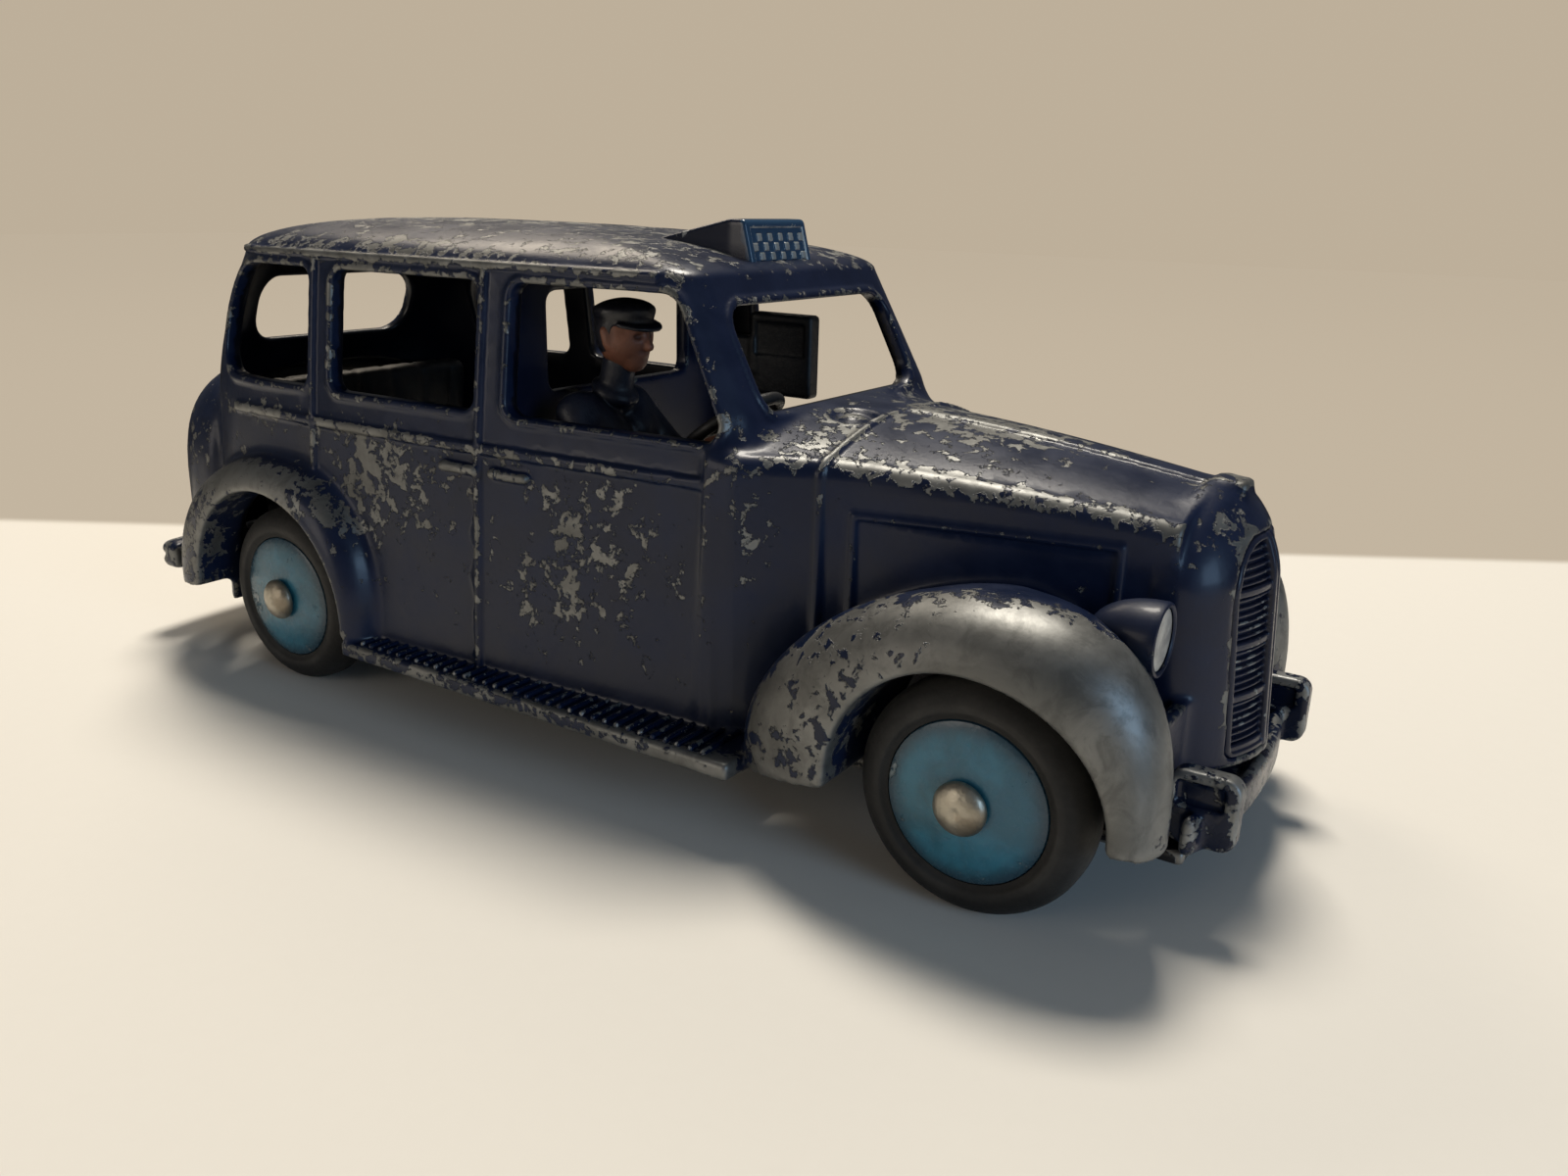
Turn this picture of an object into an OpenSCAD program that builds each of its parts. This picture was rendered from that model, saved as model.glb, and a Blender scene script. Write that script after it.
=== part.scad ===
// Die-cast toy taxi with an open luggage bay beside the driver, in millimetres.
// +X is forward, +Y is the car's left side and +Z is up.
// The origin lies on the ground, in the middle of the outside box.

/* [Running gear] */
// Distance between the two axles
wheelbase = 60; // [57:0.5:64]
// Nose of the overriders ahead of the front axle
front_overhang = 13.1; // [13:0.1:14.5]
// End of the rear bumper behind the rear axle
rear_overhang = 20.9; // [20.7:0.1:22.5]
// Height of the axles above the foot of the body's own frame
axle_h = 7.1; // [6.9:0.1:7.5]
// Outside diameter of a tyre
tyre_d = 14.2; // [13.6:0.1:14.8]
// Width of a tyre
tyre_w = 3.8; // [3.2:0.1:4.2]
// Diameter of the wheel disc, where the tyre sits on it
hub_d = 9.9; // [8.8:0.1:10.6]
// Distance across the car between the tyres' outer faces
track_outside = 32.6; // [32:0.1:33.4]
// Diameter of the axle rods
axle_d = 1.8; // [1.4:0.1:2.2]
// Diameter of the spun heads on the axle ends
axle_head_d = 3.2; // [2.8:0.1:4]
// Thickness of the spun heads
axle_head_t = 0.9; // [0.5:0.1:1.1]
// Length of the boss that spaces a wheel from its axle lug
hub_boss = 2.3; // [1.6:0.1:3]

/* [Cab] */
// Width across the sills, where the cab is widest
cab_w = 32.4; // [31.6:0.1:33]
// Width across the sills at the front edge of the front doors
cab_w_front = 29; // [27.5:0.1:30.4]
// Width across the sills at the cab's back, before its corners round off
cab_w_back = 30.4; // [29:0.1:31.4]
// Height of the sills, where the body sits on the base plate
sill_h = 4.7; // [4.4:0.1:5]
// Height of the door panels, from the sills up to the belt line
door_h = 17.5; // [16.7:0.1:18.3]
// Height of the window band, from the belt line up to the roof's edge
glass_h = 11.6; // [11.4:0.1:12.4]
// Rise of the roof's crown above its edge
roof_rise = 2.8; // [2.4:0.1:3.6]
// How far each side leans in between sill and belt
side_lean = 1; // [0.6:0.1:1.4]
// How far each side leans in again between belt and roof edge
tumblehome = 1.4; // [0.8:0.1:2]
// Foot of the windscreen behind the front axle
screen_back = 17.6; // [16.8:0.1:18.4]
// Lean of the windscreen from upright, in degrees
screen_rake = 28; // [24:0.5:31]
// Back of the cab behind the rear axle, at the belt
cab_tail = 14.95; // [14.6:0.1:15.6]
// How far the cab's back leans forward between belt and roof edge
back_lean = 4; // [3:0.1:5]
// Radius of the cab's rear corners, seen from above
back_corner_r = 9; // [7:0.2:10]
// Thickness of the cast walls
wall = 1.2; // [1:0.05:1.4]

/* [Doors and windows] */
// Front edge of the front doors behind the front axle
door_front_back = 18.5; // [18:0.1:19]
// Width of the front door
front_door_w = 20.1; // [19.4:0.1:21]
// Width of the rear door
rear_door_w = 17.2; // [16.4:0.1:17.8]
// Height of the window sills above the belt line
window_sill_rise = 2.1; // [1.6:0.1:2.8]
// Drop from the roof's edge to the tops of the side windows
window_header = 0.8; // [0.6:0.1:1.6]
// Length of the quarter window behind the rear door
quarter_w = 11.2; // [9.6:0.1:11.6]
// Radius of the window corners
window_r = 1; // [0.5:0.1:1.4]
// Width of the windscreen opening
screen_w = 19.6; // [18:0.1:20.4]
// Height of the windscreen opening's lower edge above the belt line
screen_low_rise = 3.6; // [3.2:0.1:4.2]
// Drop from the roof's edge to the windscreen opening's upper edge
screen_header = 1.6; // [1.2:0.1:2.6]
// Width of the rear window
rear_window_w = 16.4; // [14:0.1:17.4]
// Height of the rear window's lower edge above the belt line
rear_window_low_rise = 3.7; // [3:0.1:4.8]
// Drop from the roof's edge to the rear window's upper edge
rear_window_header = 2.5; // [1.8:0.1:3.8]
// Height of the luggage bay's floor edge
bay_floor_h = 8; // [7.2:0.1:9.5]
// How far mouldings stand proud of the panels
bead_h = 0.22; // [0.15:0.01:0.4]
// Width of the mouldings round the windows
bead_w = 0.6; // [0.4:0.05:0.9]

/* [Bonnet and radiator] */
// Width of the bonnet at its rear joint
bonnet_w_rear = 21.4; // [20:0.1:22.4]
// Width of the bonnet at the radiator
bonnet_w_front = 13.4; // [12.6:0.1:14.4]
// Rear joint of the bonnet behind the front axle
bonnet_joint_back = 12.9; // [12:0.1:13.6]
// Rise of the bonnet's centre line above the belt line at the windscreen
bonnet_rise_rear = 3.7; // [3.2:0.1:4]
// Rise of the bonnet's centre line above the belt line at the radiator
bonnet_rise_front = 1.3; // [0.6:0.1:2]
// How far the bonnet's shoulders lie below its centre line at the front
bonnet_crown = 1.2; // [0.8:0.1:1.8]
// Radius of the bonnet's shoulders
bonnet_r = 1.1; // [0.8:0.1:1.8]
// Back of the radiator ahead of the front axle
radiator_lead = 7.4; // [6.8:0.1:7.8]
// Length of the radiator from its back to its prow
radiator_len = 4.9; // [4:0.1:5.2]
// Rise of the radiator's top above the belt line
radiator_rise = 1.8; // [1.4:0.1:2.6]
// Height of the radiator's foot
radiator_foot_h = 7.7; // [7.6:0.1:8.4]
// Width of the slatted part of the radiator
grille_w = 9; // [7:0.1:10]
// Distance between the radiator slats
slat_pitch = 0.62; // [0.5:0.02:0.9]
// Depth of the slatted insert
grille_depth = 0.9; // [0.6:0.1:1.2]

/* [Wings and running boards] */
// Width across the outer lips of the wings
wing_span = 36.4; // [35.8:0.1:37.2]
// Gap between the front tyres and their arches
front_arch_gap = 0.95; // [0.7:0.05:1.1]
// Gap between the rear tyres and their arches
rear_arch_gap = 1.8; // [1.2:0.1:2]
// Width of the front wing ahead of its arch
front_wing_nose = 2.45; // [1.8:0.1:2.8]
// Height of the front wing's crown above its arch
front_wing_crown = 3.7; // [3:0.1:4.4]
// Length of the front wing behind its arch
front_wing_tail = 7.8; // [7:0.1:8.6]
// Width of the rear wing ahead of its arch
rear_wing_nose = 2.1; // [1.5:0.1:2.8]
// Height of the rear wing's crown above its arch
rear_wing_crown = 2.5; // [1.8:0.1:3.2]
// Length of the rear wing behind its arch
rear_wing_tail = 4.9; // [3.8:0.1:5.2]
// Height of the running boards' top
board_h = 5.9; // [5.6:0.1:6.4]
// Distance between the ribs on the running boards
rib_pitch = 1; // [0.8:0.05:1.6]
// Height of the ribs
rib_h = 0.3; // [0.2:0.05:0.45]

/* [Boot, lamps, sign and bumpers] */
// Width of the boot's bulge
boot_w = 28.5; // [26:0.1:28.8]
// Length of the boot's bulge behind the cab
boot_len = 5.2; // [4.6:0.1:5.4]
// Rise of the boot's top above the belt line
boot_rise = 2.3; // [1.2:0.1:2.8]
// Diameter of a headlamp
lamp_d = 4.2; // [3.6:0.1:4.6]
// Length of a headlamp bowl
lamp_len = 4.6; // [3.8:0.1:5.4]
// Distance between the headlamps' centres
lamp_span = 21; // [19.6:0.1:22]
// Height of the headlamps' centres
lamp_h = 16.9; // [16:0.1:17.4]
// Width of the roof sign
sign_w = 7.5; // [6:0.1:9]
// Height of the roof sign's top above the roof's crown
sign_stand = 0.8; // [0.4:0.1:1.6]
// Length of the roof sign, with its tail
sign_len = 8.6; // [7:0.1:9.6]
// Height of the bumper bars
bumper_t = 2.5; // [1.8:0.1:2.6]
// Length of the front bumper bar across the car
front_bumper_w = 21.4; // [20.6:0.1:22]
// Length of the rear bumper bar across the car
rear_bumper_w = 30; // [27:0.1:31]
// Height of the rear bumper bar above the base plate
rear_bumper_rise = 1; // [0.6:0.1:1.3]
// Height of the overriders' tops
overrider_h = 9.5; // [8.8:0.1:10.5]
// Distance between the overriders
overrider_span = 18; // [16:0.1:20]
// Thickness of an overrider
overrider_t = 1.3; // [1:0.1:1.6]

/* [Floor and inside] */
// Thickness of the base plate
plate_t = 0.9; // [0.7:0.1:1.2]
// Thickness of the axle lugs
lug_t = 1.6; // [1.2:0.1:2]
// Diameter of the body posts
post_d = 3.3; // [3:0.1:4]
// Diameter of the rivet shanks
rivet_d = 2.2; // [1.6:0.1:2.6]
// Diameter of the rivet heads
rivet_head_d = 3.8; // [3.2:0.1:4.2]
// Depth of the rivet heads, sunk in the base plate
rivet_head_t = 0.5; // [0.4:0.05:0.6]
// Height of the passenger seat's cushion
bench_h = 14; // [12.5:0.1:15]
// Height of the passenger seat's back above the belt line
bench_back_rise = 1; // [0.4:0.1:1.4]
// Thickness of the partition
partition_t = 1.2; // [0.9:0.1:1.5]
// Drop from the belt line to the driver's seat
seat_drop = 8.6; // [7.8:0.1:9.6]
// Width of the driver's seat
driver_seat_w = 12; // [10:0.1:13]
// Diameter of the steering wheel
steering_d = 8; // [7:0.1:8.6]
// Length of the taximeter
meter_len = 5.9; // [4.5:0.1:6.6]
// Height of the taximeter
meter_tall = 6.6; // [5:0.1:7]

/* [Hidden] */
$fn = 40;

// Clearances and fits
running_gap = 0.06;
end_gap = 0.12;
fit_gap = 0.15;
tyre_grip = 0.05;
seat_in = 0.35;
over = 1;

// Fore and aft stations
front_x = (rear_overhang - front_overhang + wheelbase) / 2;
rear_x = front_x - wheelbase;
nose_x = front_x + front_overhang;
tail_x = rear_x - rear_overhang;
cab_back_x = rear_x - cab_tail;
screen_foot_x = front_x - screen_back;
door_front_x = front_x - door_front_back;
door_mid_x = door_front_x - front_door_w;
door_rear_x = door_mid_x - rear_door_w;
bonnet_joint_x = front_x - bonnet_joint_back;
radiator_x = front_x + radiator_lead;
widest_x = rear_x + 8;
roof_peak_x = rear_x + 6.5;
bonnet_root_x = screen_foot_x - 2;
apron_x = front_x + 8.1;

// Heights, stacked up from the sills
belt_h = sill_h + door_h;
cant_h = belt_h + glass_h;
roof_h = cant_h + roof_rise;
window_sill_h = belt_h + window_sill_rise;
window_top_h = cant_h - window_header;
screen_foot_h = belt_h + 3;
screen_low_h = belt_h + screen_low_rise;
screen_top_h = cant_h - screen_header;
rear_window_low_h = belt_h + rear_window_low_rise;
rear_window_top_h = cant_h - rear_window_header;
bonnet_h_rear = belt_h + bonnet_rise_rear;
bonnet_h_front = belt_h + bonnet_rise_front;
radiator_top_h = belt_h + radiator_rise;
boot_top_h = belt_h + boot_rise;
bench_back_h = belt_h + bench_back_rise;
driver_seat_h = belt_h - seat_drop;

// The wheels carry the body's frame
lift = tyre_d / 2 - axle_h;
front_arch_r = tyre_d / 2 + front_arch_gap;
rear_arch_r = tyre_d / 2 + rear_arch_gap;
wheel_in = track_outside / 2 - tyre_w;
lug_out = wheel_in - hub_boss - end_gap;
hub_face = track_outside / 2 + 0.3;
plate_low_h = sill_h - plate_t;

// Shape of the cab
screen_corner_r = 2.2;
tumble_bend = 1.1;
taper_bend = 1.35;
lean_bend = 1.8;
roof_square = 2.4;
corner_steps = 6;
side_steps = 7;
nose_steps = 3;
low_steps = 2;
high_steps = 3;
roof_steps = 6;

// Window posts, measured from the door lines
post_b_front = 2.4;
post_b_rear = 0.5;
post_c_front = 2.1;
post_c_rear = 0.6;
post_a = 0.45;
bay_post = 3.9;
quarter_back_r = 4.4;
quarter_foot_r = 2.2;
screen_r = 1.6;
rear_window_r = 2.2;
line_w = 0.42;
belt_w = 0.75;
drip_w = 0.5;

// Shape of the bonnet, radiator and boot
scuttle_flare = 2.4;
flare_len = 6.6;
shoulder_drop = 1.8;
bonnet_steps = 8;
crown_steps = 4;
shoulder_steps = 2;
radiator_half = bonnet_w_front / 2 + 0.25;
radiator_waist_h = radiator_top_h - 5.4;
prow_rake = 0.07;
round_steps = 6;
boot_waist_h = boot_top_h - 12.3;
boot_foot_h = sill_h + rear_bumper_rise + bumper_t + fit_gap;
boot_dome = 3.4;
boot_root = 2.5;
boot_square = 2.8;
boot_sides = 14;
boot_steps = 5;

// Shape of the wings
wing_steps = 12;
wing_sides = 4;
front_wing_drop = 0.6;
rear_wing_drop = 0.9;
tail_drop = 2;
edge_drop = 0.35;
front_wing_tuck = 1.4;
front_crest = 13.6;
rear_crest = 14.85;
wing_root = 6.9;
nose_root = 10.6;
rear_board_lap = 2;
front_board_lap = 1;
rib_edge = 0.35;
well_lap = 0.2;

function lerp(a, b, t) = a + (b - a) * t;
function sum(v, i = 0) = i < len(v) - 1 ? v[i] + sum(v, i + 1) : v[i];
function mean(ps) = sum(ps) / len(ps);
function flip_y(ps) = [for (i = [len(ps) - 2:-1:1]) [ps[i][0], -ps[i][1], ps[i][2]]];
function whole(half) = concat(half, flip_y(half));
// One quadrant of a squared-off ellipse with half axes a and b
function bulge(a, b, n, angle) = [a * pow(cos(angle), 2 / n), b * pow(sin(angle), 2 / n)];

// Solid through a stack of rings with equally many points, clockwise from the stack's far end
module loft(rings) {
    n = len(rings[0]);
    m = len(rings);
    polyhedron(
        points = concat([for (r = rings) each r], [mean(rings[0]), mean(rings[m - 1])]),
        faces = concat(
            [for (k = [0:m - 2], i = [0:n - 1])
                [k * n + i, k * n + (i + 1) % n, (k + 1) * n + (i + 1) % n]],
            [for (k = [0:m - 2], i = [0:n - 1]) [k * n + i, (k + 1) * n + (i + 1) % n, (k + 1) * n + i]],
            [for (i = [0:n - 1]) [m * n, (i + 1) % n, i]],
            [for (i = [0:n - 1]) [m * n + 1, (m - 1) * n + i, (m - 1) * n + (i + 1) % n]]
        ),
        convexity = 8
    );
}

module lifted() { translate([0, 0, lift]) children(); }
module both_sides() { children(); mirror([0, 1, 0]) children(); }
// An outline in X and Z, drawn out across the car between two values of Y
module across(y0, y1) { translate([0, y1, 0]) rotate([90, 0, 0]) linear_extrude(y1 - y0) children(); }
// An outline in Y and Z, drawn out along the car between two values of X
module along(x0, x1) { translate([x0, 0, 0]) rotate([90, 0, 90]) linear_extrude(x1 - x0) children(); }
// A rounded outline through corner centres given as [x, z, radius]
module rounded(corners, grow = 0) {
    hull() for (c = corners) translate([c[0], c[1]]) circle(r = c[2] + grow, $fn = 16);
}

// Half width of the cab at the sill, and how far it is set in at other heights
function side_y(x) =
    let (to_front = x > widest_x,
        u = (x - widest_x) / ((to_front ? door_front_x : cab_back_x) - widest_x),
        drop = (cab_w - (to_front ? cab_w_front : cab_w_back)) / 2)
    cab_w / 2 - drop * pow(max(0, u), to_front ? taper_bend : 2);
function inset(z) = z < belt_h
    ? side_lean * (z - sill_h) / (belt_h - sill_h)
    : side_lean + tumblehome * pow((z - belt_h) / (cant_h - belt_h), tumble_bend);
function screen_x(z) = screen_foot_x - max(0, z - screen_foot_h) * tan(screen_rake);
function back_x(z) = cab_back_x + back_lean * pow(max(0, z - belt_h) / (cant_h - belt_h), lean_bend);

// Half of the cab's outline at height z, from the back round the left side to the windscreen
function cab_half(z, grow) =
    let (x0 = back_x(z) - grow, x1 = screen_x(z) + grow,
        r0 = back_corner_r + grow, r1 = max(0.3, screen_corner_r + grow), w = grow - inset(z))
    concat(
        [[x0, 0, z]],
        [for (i = [0:corner_steps]) let (a = 90 - 90 * i / corner_steps, x = x0 + r0 * (1 - sin(a)))
            [x, side_y(x) + w - r0 * (1 - cos(a)), z]],
        [for (i = [1:side_steps - 1]) let (x = lerp(x0 + r0, x1 - r1, i / side_steps))
            [x, side_y(x) + w, z]],
        [for (i = [0:nose_steps]) let (a = 90 * i / nose_steps, x = x1 - r1 * (1 - sin(a)))
            [x, side_y(x) + w - r1 * (1 - cos(a)), z]],
        [[x1, 0, z]]
    );

// The cab as a solid, grown or shrunk evenly
module cab(grow, foot = sill_h) {
    levels = concat(
        [for (i = [0:low_steps]) lerp(foot, belt_h, i / low_steps)],
        [for (i = [1:high_steps]) lerp(belt_h, cant_h, i / high_steps)]
    );
    edge = whole(cab_half(cant_h, grow));
    rise = roof_h + grow - cant_h;
    loft(concat(
        [for (z = levels) whole(cab_half(z, grow))],
        [for (i = [1:roof_steps]) let (b = bulge(1, rise, roof_square, 88.5 * i / roof_steps),
                z = cant_h + rise * sin(88.5 * i / roof_steps))
            [for (p = edge) [lerp(roof_peak_x, p[0], b[0]), p[1] * b[0], z]]]
    ));
}

// Half width and centre height of the bonnet and scuttle along the car
function along_bonnet(x) = (x - bonnet_joint_x) / (radiator_x - bonnet_joint_x);
function bonnet_y(x) =
    min(side_y(x) - side_lean / 2,
        lerp(bonnet_w_rear, bonnet_w_front, along_bonnet(x)) / 2
        + scuttle_flare * pow(max(0, bonnet_joint_x + 2 - x) / flare_len, 1.7));
function bonnet_z(x) =
    let (t = (x - screen_foot_x) / (radiator_x - screen_foot_x))
    lerp(bonnet_h_rear, bonnet_h_front, t) + 0.35 * sin(180 * max(0, t));
function crown_z(x) = lerp(shoulder_drop, bonnet_crown, along_bonnet(x));

// Half of the bonnet's section at station x, from the right foot up to the centre line
function bonnet_half(x, grow, foot) =
    let (hw = bonnet_y(x) + grow, top = bonnet_z(x) + grow,
        r = max(0.3, bonnet_r + grow), zs = top - crown_z(x))
    concat(
        [[x, -hw, foot]],
        [for (i = [0:shoulder_steps]) let (a = 90 * i / shoulder_steps)
            [x, -hw + r * (1 - cos(a)), zs - r + r * sin(a)]],
        [for (i = [1:crown_steps]) let (u = 1 - i / crown_steps)
            [x, -(hw - r) * u, top - crown_z(x) * u * u]]
    );
function closed_section(half) =
    concat(half, [for (i = [len(half) - 2:-1:0]) [half[i][0], -half[i][1], half[i][2]]]);

module bonnet(grow, foot = sill_h) {
    x1 = radiator_x + min(0, grow);
    loft([for (i = [0:bonnet_steps]) let (x = lerp(bonnet_root_x, x1, i / bonnet_steps))
        closed_section(bonnet_half(x, grow, foot))]);
}

// A rounded prow: half of its outline seen from above, from the back centre to the tip
function prow_half(x0, half_w, len_x, z, n) = concat(
    [[x0 - 1, 0, z], [x0 - 1, half_w, z]],
    [for (i = [0:round_steps]) let (b = bulge(half_w, len_x, n, 90 * i / round_steps))
        [x0 + b[1], b[0], z]]
);

module radiator(grow) {
    foot = radiator_foot_h;
    function len_at(z) = radiator_len + grow - prow_rake * (z - foot);
    function ring(z, s) = [for (p = whole(prow_half(0, radiator_half + grow, len_at(z), z, 1.75)))
        [radiator_x + p[0] * s, p[1] * s, z]];
    rise = radiator_top_h + grow - radiator_waist_h;
    loft(concat(
        [for (i = [0:4]) ring(lerp(foot, radiator_waist_h, i / 4), 1)],
        [for (i = [1:6]) let (a = 87 * i / 6) ring(radiator_waist_h + rise * pow(sin(a), 1.25), cos(a))]
    ));
}

// Front view of the slatted area of the radiator
module grille_outline(grow = 0) {
    low = radiator_foot_h + 0.5;
    top_r = 3.2;
    foot_r = 0.6;
    top = radiator_waist_h + 2.6;
    foot_y = grille_w / 2 - foot_r - 0.3;
    top_y = grille_w / 2 - top_r;
    rounded([[-foot_y, low + foot_r, foot_r], [foot_y, low + foot_r, foot_r],
        [top_y, top - top_r, top_r], [-top_y, top - top_r, top_r]], grow);
}

module grille_zone() { along(radiator_x + 1.4, radiator_x + radiator_len + over) grille_outline(); }

module boot(grow, foot = boot_foot_h) {
    x0 = cab_back_x + boot_root;
    reach = boot_len + boot_root + grow;
    half_w = boot_w / 2 + grow;
    rise = boot_top_h + grow - boot_waist_h;
    function half(z, s) = [for (i = [0:boot_sides])
        let (a = 180 * i / boot_sides, b = bulge(reach, half_w, boot_square, min(a, 180 - a)))
            [x0 - s * b[0] * (a > 90 ? -0.4 : 1), s * b[1], z]];
    loft(concat(
        [for (z = [foot, boot_waist_h]) whole(half(z, 1))],
        [for (i = [1:boot_steps]) let (b = bulge(1, rise, boot_dome, 87 * i / boot_steps))
            whole(half(boot_waist_h + b[1], b[0]))]
    ));
}

// A wing on the left side: a rounded tube section carried over the wheel arch
module wing(axle_x, arch_r, nose, crown, tail, n_nose, n_tail, nose_tuck,
        crest, root, root_share, drops) {
    function lip(a) = wing_span / 2 - nose_tuck * pow(max(0, cos(a)), 2);
    function root_at(a) = lerp(root, max(root, nose_root), pow(max(0, cos(a)), 0.7));
    function outer(a) = a <= 90
        ? bulge(arch_r + nose, arch_r + crown, n_nose, a)
        : let (b = bulge(arch_r + tail, arch_r + crown, n_tail, 180 - a)) [-b[0], b[1]];
    function inner(a) = (arch_r - well_lap) * [cos(a), sin(a)];
    function place(p, q, f, y, dz) =
        [axle_x + lerp(p[0], q[0], f), y, axle_h + lerp(p[1], q[1], f) - dz * lerp(edge_drop, 1, f)];
    function section(a, dz) = let (p = inner(a), q = outer(a)) concat(
        [place(p, q, 0, root_at(a), dz)],
        [for (i = [0:wing_sides]) let (b = bulge(lip(a) - crest, 1, 2.3, 90 * i / wing_sides))
            place(p, q, b[1], crest + b[0], dz)],
        [place(p, q, lerp(1, root_share, 0.3), lerp(crest, root_at(a), 0.5), dz),
            place(p, q, root_share, root_at(a), dz)]
    );
    loft(concat(
        [section(0, drops[0])],
        [for (i = [0:wing_steps]) section(180 * i / wing_steps, 0)],
        [section(180, drops[1])]
    ));
}

module wings() {
    both_sides() {
        wing(front_x, front_arch_r, front_wing_nose, front_wing_crown, front_wing_tail, 2.7, 1.75,
            front_wing_tuck, front_crest, wing_root, 0.5, [front_wing_drop, tail_drop]);
        wing(rear_x, rear_arch_r, rear_wing_nose, rear_wing_crown, rear_wing_tail, 2.4, 2,
            0, rear_crest, rear_crest - wall, 1, [tail_drop, rear_wing_drop]);
    }
}

module running_boards() {
    x0 = rear_x + rear_arch_r + rear_wing_nose - rear_board_lap;
    x1 = front_x - front_arch_r - front_wing_tail + front_board_lap;
    inner_y = cab_w_front / 2 - wall;
    both_sides() {
        translate([x0, inner_y, sill_h]) cube([x1 - x0, wing_span / 2 - inner_y, board_h - sill_h]);
        for (x = [x0 + rear_board_lap:rib_pitch:x1])
            translate([x - rib_pitch / 4, inner_y, board_h - wall / 2])
                cube([rib_pitch / 2, wing_span / 2 - rib_edge - inner_y, wall / 2 + rib_h]);
    }
}

// Side window outlines, as corner centres [x, z, radius]
rear_pane = let (x0 = door_rear_x + post_c_front, x1 = door_mid_x - post_b_rear, r = window_r)
    [[x0 + r, window_sill_h + r, r], [x1 - r, window_sill_h + r, r],
        [x1 - r, window_top_h - r, r], [x0 + r, window_top_h - r, r]];
front_pane = let (x0 = door_mid_x + post_b_front, x1 = door_front_x - post_a, r = window_r,
        slant = (window_top_h - window_sill_h) * tan(screen_rake))
    [[x0 + r, window_sill_h + r, r], [x1 - r * 1.4, window_sill_h + r, r],
        [x1 - slant - r * 0.6, window_top_h - r * 1.6, r * 1.6], [x0 + r, window_top_h - r, r]];
quarter_pane = let (x1 = door_rear_x - post_c_rear, x0 = x1 - quarter_w, r = window_r,
        low_r = quarter_foot_r, top_r = quarter_back_r)
    [[x0 + low_r, window_sill_h + low_r, low_r], [x1 - r, window_sill_h + r, r],
        [x1 - r, window_top_h - r, r], [x0 + top_r, window_top_h - top_r, top_r]];
bay_gap = let (x0 = door_mid_x + bay_post, x1 = door_front_x - post_a, r = window_r,
        slant = (window_top_h - window_sill_h) * tan(screen_rake))
    [[x0 + r, bay_floor_h + r, r], [x1 - r, bay_floor_h + r, r], [x1 - r * 1.4, window_sill_h + r, r],
        [x1 - slant - r * 0.6, window_top_h - r * 1.6, r * 1.6], [x0 + r, window_top_h - r, r]];
screen_pane = let (r = screen_r, low_y = screen_w / 2 - r, top_y = low_y - 0.2)
    [[-low_y, screen_low_h + r, r], [low_y, screen_low_h + r, r],
        [top_y, screen_top_h - r, r], [-top_y, screen_top_h - r, r]];
rear_window_pane = let (r = rear_window_r, y = rear_window_w / 2)
    [[-y + r, rear_window_low_h + r, r], [y - r, rear_window_low_h + r, r],
        [y - r, rear_window_top_h - r, r], [-y + r, rear_window_top_h - r, r]];

far = wing_span;

// The side windows, the open luggage bay and the windscreen, which all have a raised surround
module framed_openings(grow = 0) {
    across(-far, 0) rounded(front_pane, grow);
    across(0, far) rounded(bay_gap, grow);
    for (pane = [rear_pane, quarter_pane])
        across(-far, far) rounded(pane, grow);
    along(roof_peak_x, nose_x) rounded(screen_pane, grow);
}

module glass_openings() {
    framed_openings();
    along(tail_x, roof_peak_x) rounded(rear_window_pane, 0);
}

// Raised mouldings: window surrounds, door lines, belt line and drip rail
module cab_mouldings() {
    side_back_x = cab_back_x + back_corner_r;
    intersection() {
        cab(bead_h);
        union() {
            framed_openings(bead_w);
            for (x = [door_rear_x, door_mid_x])
                translate([x - line_w / 2, -far, board_h]) cube([line_w, 2 * far, cant_h - board_h]);
            translate([door_front_x - line_w, -far, board_h]) cube([line_w, far, belt_h + 1 - board_h]);
            translate([side_back_x, -far, belt_h - belt_w])
                cube([door_front_x - side_back_x, 2 * far, belt_w]);
            translate([side_back_x, -far, cant_h])
                cube([screen_x(cant_h) - screen_corner_r - side_back_x, 2 * far, drip_w]);
        }
    }
}

// Raised lines on the bonnet: hinge strip, rear joint and side panels
module bonnet_mouldings() {
    strip = 0.9;
    panel_x0 = bonnet_joint_x + 1.8;
    panel_x1 = radiator_x - 3;
    panel_top = bonnet_h_front - 2.7;
    intersection() {
        bonnet(0.16);
        union() {
            translate([bonnet_joint_x, -strip, 0]) cube([radiator_x - bonnet_joint_x, 2 * strip, far]);
            translate([bonnet_joint_x - line_w, -far, sill_h]) cube([line_w, 2 * far, far]);
            translate([panel_x0, -far, panel_top - line_w]) cube([panel_x1 - panel_x0, 2 * far, line_w]);
            for (x = [panel_x0, panel_x1 - line_w])
                translate([x, -far, sill_h]) cube([line_w, 2 * far, panel_top - sill_h]);
        }
    }
}

module door_handles() {
    handle_h = belt_h - 1.9;
    handle_len = 2.8;
    handle_r = 0.42;
    for (side = [-1, 1], x = side < 0 ? [door_mid_x - 3, door_mid_x + 1.6] : [door_mid_x - 3])
        hull() for (end = [x, x + handle_len])
            translate([end, side * (side_y(end) - inset(handle_h) + handle_r / 2), handle_h])
                sphere(r = handle_r, $fn = 8);
}

// Flat cap on the scuttle, on the driver's side of the centre
vent_y = -3.2;
vent_sunk = 0.8;
module scuttle_vent() {
    x = bonnet_joint_x - 1.9;
    translate([x, vent_y, bonnet_z(x) - vent_sunk])
        scale([1, 1.7, 1]) cylinder(r1 = 1.3, r2 = 1, h = vent_sunk + 0.2, $fn = 24);
}

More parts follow.
